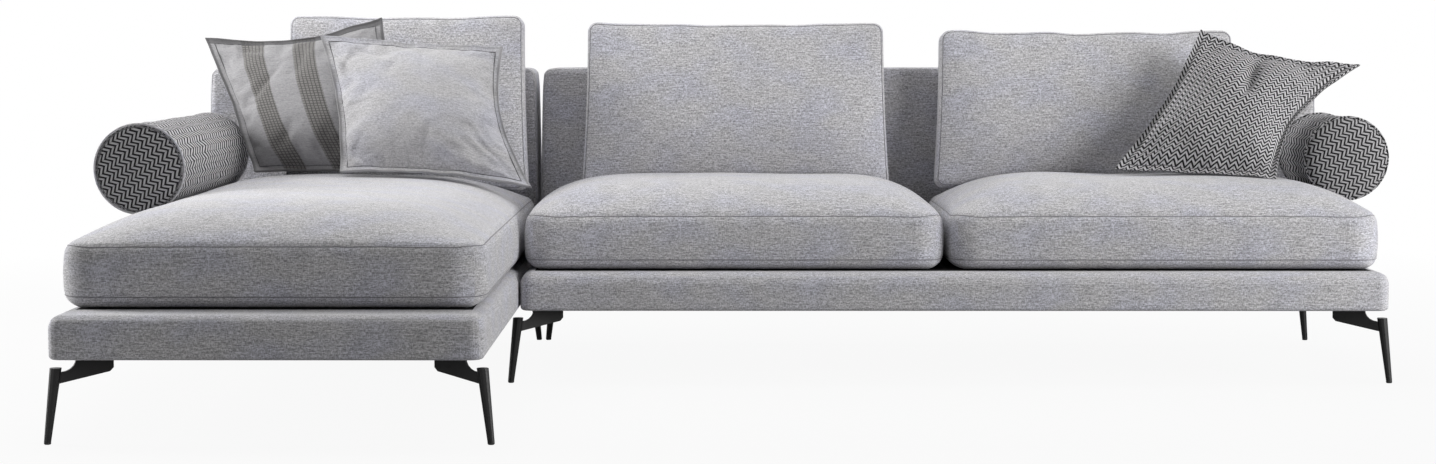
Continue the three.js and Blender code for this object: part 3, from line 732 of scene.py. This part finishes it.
def add_seat_cushion(side, seed, widening):
    """Boxed cushion with a crowned top; it widens to the left only in front of the bolster's bars."""
    name = f"{side}_seat"
    node = f"{name}_cushion"
    low, high = node_box(node)
    half = np.array([(high[0] - low[0]) / 2 - SEAT_CLEARANCE, (high[1] - low[1]) / 2, SEAT_SIDE / 2])
    middle = np.array([(low[0] + high[0]) / 2, (low[1] + high[1]) / 2, low[2] + SEAT_SIDE / 2])
    seam_level = SEAT_SEAM_HEIGHT - half[2]
    points, plain, faces, sides, places = soft_block(half, SEAT_EDGE, SEAT_CORNER, SEAT_CELL, (seam_level,))
    rise = border_dome(points, half, min(half[0], half[1]), SEAT_POWER)
    upper = plain[:, 2] > 0
    points[:, 2] += np.where(upper, SEAT_CROWN * rise, 0)
    points[:, 2] += np.where(upper, unevenness(points, SEAT_WAVES, seed, rise), 0)
    points[:, 2] += np.where(upper, seam_puckers(plain, half, *SEAT_PUCKERS, seed), 0)
    tuck = np.clip((SEAT_TUCK - half[2] - points[:, 2]) / SEAT_TUCK, 0, 1)
    drawn_in = SEAT_TUCK * SEAT_TUCK_SHARE * (1 - np.sqrt(1 - tuck ** 2))
    height_share = np.clip(points[:, 2] / half[2], -1, 1)
    swell = SEAT_SWELL * (1 - height_share ** 2) - SEAT_SWELL
    near = np.exp(-np.maximum(half[:2] - np.abs(points[:, :2]), 0) / SEAT_SWELL_FADE)
    points[:, :2] += np.sign(points[:, :2]) * near * (swell - drawn_in)[:, None]
    low_share = np.clip(1 - (points[:, 2] + half[2]) / SEAT_TUCK, 0, 1)
    points[:, 2] += SEAT_LIFT * low_share * near.max(axis=1)
    front = points[:, 1] < -half[1] + 2 * SEAT_EDGE
    points[:, 1] += np.where(front, unevenness(points, SEAT_FRONT_WAVES, seed + 5), 0)
    leftward = np.clip(-2 * points[:, 0] / half[0] - 1, 0, 1)
    forward = np.clip(-2 * points[:, 1] / half[1] - SEAT_BAR_SHARE, 0, 1)
    points[:, 0] -= widening * leftward * forward ** 2 * (3 - 2 * forward)
    top_ring = ring_of(places, places[:, 2].max())
    low_ring = ring_of(places, int(places[np.abs(plain[:, 2] - seam_level) < TINY][0, 2]))
    for rows in (top_ring, low_ring):
        inward = points[rows] * (1, 1, 0)
        inward /= np.linalg.norm(inward, axis=1)[:, None]
        points[rows] -= SEAT_SEAM_DEPTH * inward
    cushion = add_mesh(name, points + middle, faces, side_uv(plain, faces, sides), grey_fabric, name)
    smooth_more(cushion)
    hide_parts(node)
    add_welts(name, points + middle, {"top_seam": top_ring, "low_seam": low_ring}, seam_shade_fabric, name)
    return cushion


# Back cushions: built lying down, with the front face up, then stood up at their lean
BACK_EDGE = 0.024
BACK_CORNER = 0.028
BACK_BORDER = 0.084
BACK_FRONT_CROWN = 0.058
BACK_REAR_CROWN = 0.026
BACK_CELL = 0.013
BACK_POWER = 2.1
BACK_REACH_SHARE = 0.9
BACK_LOWER_SHARE = 0.3
BACK_LEAN = 6
BACK_SAG = 0.007
BACK_WAVES = (0.003, 0.3)
BACK_TOP_WAVES = (0.0025, 0.22)
BACK_PUCKERS = (0.0024, 0.022)
BACK_NARROWING_SHARE = 0.02
BACK_WAIST = 0.004
BACK_WAIST_SHARE = 0.9
BACK_GAP = 0.0012


def add_back_cushion(side, seat, height, seed, widening):
    """Knife-edged cushion, fuller in its lower half and a little narrower at the top."""
    name = f"{side}_back"
    node = f"{name}_cushion"
    low, high = node_box(node)
    low[0] -= widening
    half = np.array([(high[0] - low[0]) / 2, height / 2, BACK_BORDER / 2])
    points, plain, faces, sides, places = soft_block(half, BACK_EDGE, BACK_CORNER, BACK_CELL, ())
    swell = border_dome(points, half, half[1] * BACK_REACH_SHARE, BACK_POWER)
    lower = 1 - BACK_LOWER_SHARE * points[:, 1] / half[1]
    front = plain[:, 2] > 0
    crown = np.where(front, BACK_FRONT_CROWN, -BACK_REAR_CROWN)
    facing = np.where(front, 1, -1)
    on_face = np.abs(plain[:, 2]) > half[2] - BACK_EDGE
    points[:, 2] += np.where(on_face, crown * swell * lower, 0)
    points[:, 2] += unevenness(points, BACK_WAVES, seed, facing * swell)
    points[:, 2] += np.where(front, seam_puckers(plain, half, *BACK_PUCKERS, seed), 0)
    share_x = points[:, 0] / half[0]
    share_y = points[:, 1] / half[1]
    points[:, 1] -= BACK_SAG * (1 - share_x ** 2) * np.clip(share_y, 0, 1)
    points[:, 1] += unevenness(points[:, :1], BACK_TOP_WAVES, seed + 2) * np.clip(share_y, 0, 1)
    points[:, 0] *= 1 - BACK_NARROWING_SHARE * share_y
    at_side = np.abs(share_x) > BACK_WAIST_SHARE
    points[:, 0] -= BACK_WAIST * np.sign(points[:, 0]) * (1 - share_y ** 2) * at_side
    lean = Matrix.Rotation(math.radians(90 - BACK_LEAN), 3, "X")
    points = points @ np.array(lean).T
    shift = np.array([(low[0] + high[0]) / 2, high[1] - points[:, 1].max(), low[2] - points[:, 2].min()])
    points = push_out(points + shift, [seat], BACK_GAP)
    cushion = add_mesh(name, points, faces, side_uv(plain, faces, sides), grey_fabric, name)
    smooth_more(cushion)
    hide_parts(node)
    rings = {"front_welt": ring_of(places, places[:, 2].max()), "rear_welt": ring_of(places, 0)}
    add_welts(name, points, rings, seam_shade_fabric, name)
    return cushion


# Upholstered bases and backs
COVER_THICKNESS = 0.0198
COVER_HEM = 0.0012
BASE_EDGE = 0.009
BASE_SHOULDER = 0.028
BASE_SHOULDER_SHARE = 0.87
BASE_CORNER = 0.029
BASE_CELL = 0.03
BASE_HEM_RISE = 0.004
BASE_WAVES = (0.0012, 0.35)
DECK_UNDERSIDE = 0.0158
# Inset and clearance of the black cloth on the deck under the seat cushions, which is painted shade
SHADE_CLOTH_INSET = (0.03, 0.022, 0.0)
SHADE_CLOTH_CLEARANCE = 0.01
PANEL_EDGE = 0.016
PANEL_CORNER = 0.028
PANEL_TAPER = 0.006
PANEL_TAPER_POWER = 1.6
PANEL_TAPER_SHARE = 0.2
PANEL_SPREAD = 0.0014
PANEL_WAVES = (0.0015, 0.4)


def base_lines(half, rim, shade_cloth_low, shade_cloth_high):
    """Grid lines of a base cover, with lines at its shoulders, its lower hem and the border of its painted
    shade cloth.
    """
    lines = []
    for axis in range(3):
        shoulder = half[axis] - BASE_SHOULDER
        inner_shoulder = half[axis] - BASE_SHOULDER * BASE_SHOULDER_SHARE
        seams = (shoulder, inner_shoulder)
        if axis < 2:
            hem = rim[axis] + COVER_HEM
            shade_cloth_edge = min(shade_cloth_high[axis], rim[axis] - SHADE_CLOTH_CLEARANCE)
            seams += (-shoulder, -inner_shoulder, -rim[axis], rim[axis], -hem, hem, shade_cloth_low[axis], shade_cloth_edge)
        lines.append(axis_lines(half[axis], BASE_EDGE, BASE_CELL, seams))
    return lines


def add_base_cover(module, seats, seed):
    """Cover over a base's bands and deck, open underneath, with a black cloth under the seat cushions that is
    painted shade for the dark crevice beneath their edges.
    """
    nodes = [f"{module}_{side}_band" for side in ("front", "rear", "left", "right")] + [f"{module}_deck"]
    low, high = node_box(*nodes)
    half = (high - low) / 2
    middle = (high + low) / 2
    rim = half - COVER_THICKNESS
    seat_low, seat_high = node_box(*[f"{seat}_seat_cushion" for seat in seats])
    shade_cloth_low = seat_low + SHADE_CLOTH_INSET - middle
    shade_cloth_high = seat_high - SHADE_CLOTH_INSET - middle
    plain, faces, sides, _ = lattice_box(base_lines(half, rim, shade_cloth_low, shade_cloth_high))
    points = round_box(plain, half, BASE_EDGE, BASE_CORNER)
    upper = plain[:, 2] > 0
    points[upper] = round_box(plain[upper], half, BASE_SHOULDER, BASE_CORNER)
    under = plain[:, 2] <= -half[2] + TINY
    cavity = under & (np.abs(plain[:, :2]) <= rim[:2] + TINY).all(axis=1)
    points[cavity, 2] = half[2] - DECK_UNDERSIDE
    flat_edge = under & ~cavity
    points[flat_edge, 2] = np.minimum(points[flat_edge, 2], -half[2] + BASE_HEM_RISE)
    side = ~under & (np.abs(points[:, 2]) < half[2] - BASE_EDGE / 2)
    outward = np.where(side, unevenness(points, BASE_WAVES, seed), 0)
    points[:, 1] += outward * np.sign(points[:, 1]) * (np.abs(points[:, 1]) > half[1] - BASE_EDGE)
    uv = side_uv(plain, faces, sides)
    cover = add_mesh(f"{module}_base_cover", points + middle, faces, uv, grey_fabric, f"{module}_module")
    centres = plain[faces].mean(axis=1)
    under_shade_cloth = np.all((centres[:, :2] > shade_cloth_low[:2]) & (centres[:, :2] < shade_cloth_high[:2]), axis=1)
    on_deck = centres[:, 2] > half[2] - TINY
    # Black cloth on the deck under the seat cushions: painted shade for the crevice beneath their edges
    cover.data.materials.append(finishes["painted_shade_cloth"])
    cover.data.polygons.foreach_set("material_index", (under_shade_cloth & on_deck).astype(np.int32))
    smooth_more(cover)
    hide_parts(*nodes)


def add_back_cover(module, seed):
    """Cover over a back's board and pad: built lying down, then stood up."""
    nodes = [f"{module}_back_board", f"{module}_back_pad"]
    low, high = node_box(*nodes)
    extent = high - low
    half = np.array([extent[0] / 2, extent[2] / 2, extent[1] / 2])
    points, plain, faces, sides, places = soft_block(half, PANEL_EDGE, PANEL_CORNER, BASE_CELL, ())
    outward = np.where(plain[:, 2] > 0, 1, -1) * (np.abs(plain[:, 2]) > half[2] - TINY)
    points[:, 2] += unevenness(points, PANEL_WAVES, seed, outward)
    height_share = np.clip(points[:, 1] / half[1] * (1 - PANEL_TAPER_SHARE) + PANEL_TAPER_SHARE, 0, 1)
    widening = PANEL_SPREAD - PANEL_TAPER * height_share ** PANEL_TAPER_POWER
    points[:, 0] += np.sign(points[:, 0]) * widening * (np.abs(points[:, 0]) > half[0] - PANEL_CORNER)
    stand = np.array(Matrix.Rotation(math.radians(90), 3, "X"))
    points = points @ stand.T + (low + high) / 2
    body = f"{module}_module"
    cover = add_mesh(f"{module}_back_cover", points, faces, side_uv(plain, faces, sides), grey_fabric, body)
    smooth_more(cover)
    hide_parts(*nodes)
    rings = {"front_seam": ring_of(places, places[:, 2].max()), "rear_seam": ring_of(places, 0)}
    add_welts(f"{module}_back", points, rings, grey_fabric, body)


# Throw pillows: two sheets sewn together inside a flat flange, stretched over the corners that the CAD gives.
# Corners go round from the lower right one and bows from the right side, as shares of size and PILLOW_BOW
THROW_SIZE = 0.46
PALE_SIZE = 0.48
PILLOW_CROWN = 0.062
PILLOW_SQUARENESS = 2.3
PILLOW_FULLNESS = 0.72
PILLOW_FLANGE = 0.019
PILLOW_FLANGE_HALF = 0.002
PILLOW_RIM_LINES = (0.002, 0.008)
PILLOW_HEM_LINES = (0.008, 0.005, 0.0025, 0.0)
PILLOW_HEM = 0.003
PILLOW_HEM_WIDTH = 0.008
PILLOW_HEM_BLEND = 0.004
PILLOW_CELL = 0.0105
PILLOW_BOW = 0.018
PILLOW_HEAVY_SHARE = 0.16
PILLOW_LUMPS = (0.006, 0.8)
PILLOW_LUMP_FLATNESS = 0.3
PILLOW_GATHERS = (0.007, 0.15, 0.03)
PILLOW_FLUTTER = (0.006, 0.12)
PILLOW_FLUTTER_FADE = 0.05
PILLOW_GAP = 0.0015
PILLOW_STITCH = 0.0014
PILLOW_STITCH_SIDES = 6
PILLOW_GROWTH_SHARE = 0.04
PILLOW_PRESSURE = 3
CREASE_DEPTH = 0.008
CREASE_ANGLE = 0.42
CREASE_REACH = 0.12
CREASE_START = 0.035
FOLD_START_SHARES = (-0.12, 0.9)
FOLD_END_SHARES = (0.12, -0.1)
FOLD_DEPTH = 0.036
FOLD_WIDTH_SHARE = 0.085
FOLD_LEAD_SHARE = 0.15
STRIPED_CORNER_SHARES = (
    (0.645, -0.28, -0.41), (0.375, 0.05, 0.47), (-0.68, 0.29, 0.35), (-0.34, -0.06, -0.41),
)
STRIPED_BOW_SHARES = (1, 2.2, 0.4, 0.3)
PALE_CORNER_SHARES = ((0.6, -0.31, -0.4), (0.41, 0.21, 0.33), (-0.59, 0.29, 0.39), (-0.42, -0.19, -0.33))
PALE_BOW_SHARES = (2.3, 0.4, 1.0, 1.3)
HERRINGBONE_CORNER_SHARES = (
    (0.15, -0.31, -0.37), (0.69, 0.04, 0.25), (-0.16, 0.26, 0.44), (-0.68, 0.01, -0.34),
)
HERRINGBONE_BOW_SHARES = (3.5, 2.0, 1.2, 0.2)


def corner_creases(u, v, body_u, body_v, inner, seed):
    """Folds that fan out from the four corners of a pillow's body."""
    away_u = (1 - body_u) * inner
    away_v = (1 - body_v) * inner
    reach = np.hypot(away_u, away_v)
    angle = np.arctan2(away_v, away_u)
    quarter = (u > 0) * OTHER_SIDE + (v > 0) * 2 * OTHER_SIDE
    fan = ripple(np.stack([angle + quarter, quarter], axis=1), CREASE_ANGLE, seed, 2)
    return CREASE_DEPTH * fan * np.exp(-(reach / CREASE_REACH) ** 2) * np.clip(reach / CREASE_START, 0, 1)


def diagonal_fold(u, v):
    """Pinched valley from the top edge down into the middle of the pillow."""
    start = np.array(FOLD_START_SHARES)
    along = np.array(FOLD_END_SHARES) - start
    offset = np.stack([u, v], axis=1) - start
    share = np.clip(offset @ along / (along @ along), 0, 1)
    distance = np.linalg.norm(offset - share[:, None] * along, axis=1)
    run = np.sin(np.clip(share + FOLD_LEAD_SHARE, 0, 1) * math.pi) ** 0.5
    return FOLD_DEPTH * np.exp(-(distance / FOLD_WIDTH_SHARE) ** 2) * run


def pillow_height(plain, half, inner, body_u, body_v, facing, seed, fold):
    """How far each point of a pillow stands off its middle plane."""
    u = plain[:, 0] / half
    v = plain[:, 1] / half
    swell = ((1 - body_u ** PILLOW_SQUARENESS) * (1 - body_v ** PILLOW_SQUARENESS)) ** PILLOW_FULLNESS
    inset = np.minimum(1 - body_u, 1 - body_v) * inner
    run = np.where(body_u > body_v, v * np.sign(u) + OTHER_SIDE, u * np.sign(v))
    depth, size, fade = PILLOW_GATHERS
    waves = line_ripple(run, 0.0, size, seed, 3)
    gathers = waves * depth * np.exp(-np.maximum(inset, 0) / fade) * (swell > 0)
    gathers += corner_creases(u, v, body_u, body_v, inner, seed + 11) * (swell > 0)
    lumps = unevenness(np.stack([u, v, PILLOW_LUMP_FLATNESS * facing], axis=1), PILLOW_LUMPS, seed + 3, swell)
    heavy = 1 - PILLOW_HEAVY_SHARE * v
    height = PILLOW_CROWN * swell * heavy + gathers + lumps
    if fold:
        height -= fold(u, v) * (facing > 0) * swell
    flutter = unevenness(np.stack([u * half, v * half], axis=1), PILLOW_FLUTTER, seed + 7)
    rim = np.exp(-np.maximum(inset, 0) / PILLOW_FLUTTER_FADE)
    outer = np.maximum(np.abs(plain[:, 0]), np.abs(plain[:, 1]))
    hem = PILLOW_HEM * np.clip((outer - half + PILLOW_HEM_WIDTH) / PILLOW_HEM_BLEND, 0, 1)
    return facing * (height + PILLOW_FLANGE_HALF + hem) + flutter * rim


def stretch_over(plain, height, half, size, corners, bows):
    """Bows the pillow's sides in and lays it over its four corners."""
    u = plain[:, 0] / half
    v = plain[:, 1] / half
    right, top, left, bottom = [PILLOW_BOW * share for share in bows]
    x = plain[:, 0] - np.cos(v * math.pi / 2) * np.where(u > 0, right * u ** 2, -left * u ** 2)
    y = plain[:, 1] - np.cos(u * math.pi / 2) * np.where(v > 0, top * v ** 2, -bottom * v ** 2)
    low_right, high_right, high_left, low_left = [np.array(corner) * size for corner in corners]
    across = (x / size + 0.5)[:, None]
    upwards = (y / size + 0.5)[:, None]
    low_edge = low_left + (low_right - low_left) * across
    high_edge = high_left + (high_right - high_left) * across
    normal = np.cross(high_right - low_left, high_left - low_right)
    normal /= np.linalg.norm(normal)
    return low_edge + (high_edge - low_edge) * upwards + height[:, None] * normal


def add_pillow(kind, material, size, corners, bows, supports, seed, fold=None):
    node = f"{kind}_pillow"
    body = f"{kind}_throw"
    half = size / 2
    inner = half - PILLOW_FLANGE
    count = round(2 * inner / PILLOW_CELL)
    flange = [inner + step for step in PILLOW_RIM_LINES] + [half - step for step in PILLOW_HEM_LINES]
    line = np.array([-x for x in flange[::-1]] + list(np.linspace(-inner, inner, count + 1)) + flange)
    plain, faces, sides, _ = lattice_box([line, line, np.array([-1.0, 1.0])])
    facing = plain[:, 2].copy()
    body_u = np.clip(np.abs(plain[:, 0]) / inner, 0, 1)
    body_v = np.clip(np.abs(plain[:, 1]) / inner, 0, 1)
    height = pillow_height(plain, half, inner, body_u, body_v, facing, seed, fold)
    points = stretch_over(plain, height, half, size, corners, bows)
    low, high = node_box(node)
    points += (low + high) / 2 - (points.min(axis=0) + points.max(axis=0)) / 2
    points = push_out(points, supports, PILLOW_GAP)
    loose = (facing > 0) & (body_u < 1) & (body_v < 1)
    points = settle(points, faces, ~loose, PILLOW_GROWTH_SHARE, PILLOW_PRESSURE)
    pillow = add_mesh(node, points, faces, side_uv(plain, faces, sides), material, body)
    smooth_more(pillow)
    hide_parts(node)
    on_rim = np.abs(np.abs(plain[:, :2]).max(axis=1) - inner) < TINY
    for part, face in (("front", 1), ("rear", -1)):
        rows = np.where(on_rim & (facing == face))[0]
        rows = rows[np.argsort(np.arctan2(plain[rows, 1], plain[rows, 0]))]
        seam = tube(f"{node}_{part}_stitch", points[rows], PILLOW_STITCH, stitch_shade_fabric, body,
                    PILLOW_STITCH_SIDES)
    return pillow


# Bolsters: a roll with a domed disc and a piped rim at each end
BOLSTER_RADIUS = 0.1048
BOLSTER_TURNS = 96
BOLSTER_ROW = 0.02
BOLSTER_RIM_INSET = 0.011
BOLSTER_DISC_ROWS = 14
BOLSTER_DISC_POWER = 2.2
BOLSTER_DISC_SINK = 0.001
BOLSTER_SHOULDER = 0.004
BOLSTER_LUMPS = (0.0016, 0.2)
BOLSTER_SMALL_LUMPS = (0.0007, 0.05)
BOLSTER_WEAVE_SHARE = 0.54
BOLSTER_PIPING = 0.003
BOLSTER_STITCH = 0.0016
BOLSTER_STITCH_RADIUS = BOLSTER_RADIUS - 2.2 * BOLSTER_PIPING
BOLSTER_STITCH_OUT = 0.0024
BOLSTER_RING_SIDES = 10
POLE_DISTANCE = 1e-5


def circle(radius, y, turns):
    return [(radius * math.sin(turn), y, -radius * math.cos(turn)) for turn in turns]


def merge_poles(piece):
    """Joins the points that lie on each other in the middle of a disc."""
    work = bmesh.new()
    work.from_mesh(piece.data)
    bmesh.ops.remove_doubles(work, verts=work.verts, dist=POLE_DISTANCE)
    work.to_mesh(piece.data)
    work.free()


def roll_faces(points, profile, disc_rows):
    """Faces of a roll, their weave coordinates, and which of them lie on its discs."""
    faces = []
    uv = []
    disc_faces = []
    arc = FULL_TURN * BOLSTER_RADIUS / BOLSTER_TURNS
    for row in range(len(profile) - 1):
        on_disc = row < disc_rows - 1 or row >= len(profile) - disc_rows
        near, far = (profile[row + end][1] * BOLSTER_WEAVE_SHARE for end in (0, 1))
        for step in range(BOLSTER_TURNS):
            following = (step + 1) % BOLSTER_TURNS
            ring = [row * BOLSTER_TURNS + step, row * BOLSTER_TURNS + following,
                    (row + 1) * BOLSTER_TURNS + following, (row + 1) * BOLSTER_TURNS + step]
            faces.append(ring)
            disc_faces.append(on_disc)
            if on_disc:
                uv.append([(points[i][0], points[i][2]) for i in ring])
            else:
                start, end = step * arc, (step + 1) * arc
                uv.append([(start, near), (end, near), (end, far), (start, far)])
    return faces, np.array(uv), disc_faces


def add_bolster(side, materials, dome_depth, seed):
    body_material, disc_material, piping_material = materials
    node = f"{side}_bolster"
    body = f"{side}_roll"
    low, high = node_box(node)
    middle = (low + high) / 2
    rim = (high[1] - low[1]) / 2 - BOLSTER_RIM_INSET
    disc = []
    for share in np.linspace(0, 1, BOLSTER_DISC_ROWS):
        rise = dome_depth * math.sqrt(max(0, 1 - share ** BOLSTER_DISC_POWER))
        disc.append((share * BOLSTER_RADIUS, rim + rise - BOLSTER_DISC_SINK))
    shoulder = rim - BOLSTER_SHOULDER
    body_rows = [(BOLSTER_RADIUS, y) for y in np.linspace(shoulder, -shoulder, round(2 * rim / BOLSTER_ROW))]
    profile = disc + body_rows + [(r, -y) for r, y in disc[::-1]]
    turns = np.linspace(0, FULL_TURN, BOLSTER_TURNS, endpoint=False)
    points = np.array([point for radius, y in profile for point in circle(radius, y, turns)])
    radial = points * (1, 0, 1)
    lumps = unevenness(points, BOLSTER_LUMPS, seed) + unevenness(points, BOLSTER_SMALL_LUMPS, seed + 1)
    points += radial / BOLSTER_RADIUS * lumps[:, None]
    faces, uv, disc_faces = roll_faces(points, profile, len(disc))
    roll = add_mesh(node, points + middle, faces, uv, body_material, body)
    roll.data.materials.append(disc_material)
    roll.data.polygons.foreach_set("material_index", np.array(disc_faces, dtype=np.int32))
    merge_poles(roll)
    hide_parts(node)
    rings = (("piping", BOLSTER_RADIUS, 0.0, BOLSTER_PIPING, piping_material),
             ("stitch", BOLSTER_STITCH_RADIUS, BOLSTER_STITCH_OUT, BOLSTER_STITCH, stitch_shade_fabric))
    for part, y in (("front", -rim), ("rear", rim)):
        for name, radius, out, thickness, material in rings:
            path = np.array(circle(radius, y + math.copysign(out, y), turns)) + middle
            ring = tube(f"{node}_{part}_{name}", path, thickness, material, body, BOLSTER_RING_SIDES)


# The scene
add_camera()
add_floor()
add_world()
for lamp_name, lamp in LAMPS.items():
    add_lamp(lamp_name, *lamp)
scene.view_settings.view_transform = "Standard"

# Tones of the fabrics: light and dark
grey_fabric = upholstery("grey_upholstery", 0.79, 0.265)
# Dark welt fabric of the cushion seams: painted shade standing in for the shadow in the seam grooves
seam_shade_fabric = upholstery("seam_shade_fabric", 0.3, 0.16)
# Dark stitch fabric of the pillows and bolsters: painted shade standing in for the shadow in the stitch
# grooves
stitch_shade_fabric = upholstery("stitch_shade_fabric", 0.16, 0.06)
pale_fabric = upholstery("pale_linen", 0.6, 0.33, LINEN_TINT, hem=PALE_SIZE / 2)
piping_fabric = upholstery("piping_fabric", 0.6, 0.3)
striped_fabric = striped("striped_linen", 0.4, 0.23, THROW_SIZE / 2)
# Light tone, scale and turn of the herringbones
herringbone_fabric = herringbone("herringbone_weave", 0.64, 1.0, 0.0)
herringbone_roll = herringbone("herringbone_roll", 0.56, 1.2, 0.0)
herringbone_turned = herringbone("herringbone_weave_turned", 0.44, 1.0, math.radians(57))
# Each finish: low and high tone, roughness, metallic, speckle scale, bump and specular level
FINISHES = {
    # The first finish is a black cloth under the seat cushions, painted shade for the crevice beneath them
    "painted_shade_cloth": (0.012, 0.03, 0.95, 0, 1200, 0.4, 0.1),
    "dust_cloth": (0.012, 0.03, 0.95, 0, 1500, 0.5, 0.1),
    "webbing": (0.02, 0.05, 0.9, 0, 900, 0.5, 0.1),
    "black_plastic": (0.01, 0.014, 0.6, 0, 900, 0.1, 0.5),
    "black_steel": (0.011, 0.019, 0.42, 0.3, 700, 0.08, 0.5),
}
finishes = {name: speckled(name, *values) for name, values in FINISHES.items()}

add_base_cover("chaise", ("chaise",), 11)
add_base_cover("settee", ("middle", "right"), 12)
add_back_cover("chaise", 21)
add_back_cover("settee", 22)

# Each seat cushion: seed and widening
SEATS = {"chaise": (31, 0.009), "middle": (32, 0.0), "right": (33, 0.0)}
seats = {}
for side, (seed, widening) in SEATS.items():
    seats[side] = add_seat_cushion(side, seed, widening)
# Each back cushion: height, seed and widening
BACKS = {"chaise": (0.467, 41, 0.0), "middle": (0.442, 42, 0.011), "right": (0.42, 43, 0.0)}
backs = {}
for side, (height, seed, widening) in BACKS.items():
    backs[side] = add_back_cushion(side, seats[side], height, seed, widening)

chaise_pieces = [seats["chaise"], backs["chaise"]]
right_pieces = [seats["right"], backs["right"]]
striped_pillow = add_pillow("striped", striped_fabric, THROW_SIZE, STRIPED_CORNER_SHARES,
                            STRIPED_BOW_SHARES, chaise_pieces, 51)
chaise_pieces.append(striped_pillow)
add_pillow("pale", pale_fabric, PALE_SIZE, PALE_CORNER_SHARES, PALE_BOW_SHARES, chaise_pieces, 52)
add_pillow("herringbone", herringbone_fabric, THROW_SIZE, HERRINGBONE_CORNER_SHARES,
           HERRINGBONE_BOW_SHARES, right_pieces, 53, diagonal_fold)

# Materials of roll, disc and piping
left_fabrics = (herringbone_roll, herringbone_turned, piping_fabric)
right_fabrics = (herringbone_roll, herringbone_turned, herringbone_turned)
add_bolster("left", left_fabrics, dome_depth=0.011, seed=61)
add_bolster("right", right_fabrics, dome_depth=0.026, seed=62)

paint_nodes(finishes["black_steel"], "_leg", "joining_plate", "bracket", "bracket_front", "bracket_rear")
paint_nodes(finishes["black_plastic"], "_glide")
paint_nodes(finishes["dust_cloth"], "_dust_cover")
paint_nodes(finishes["webbing"], "_webbing")
paint_nodes(wood("timber"), "_rail")
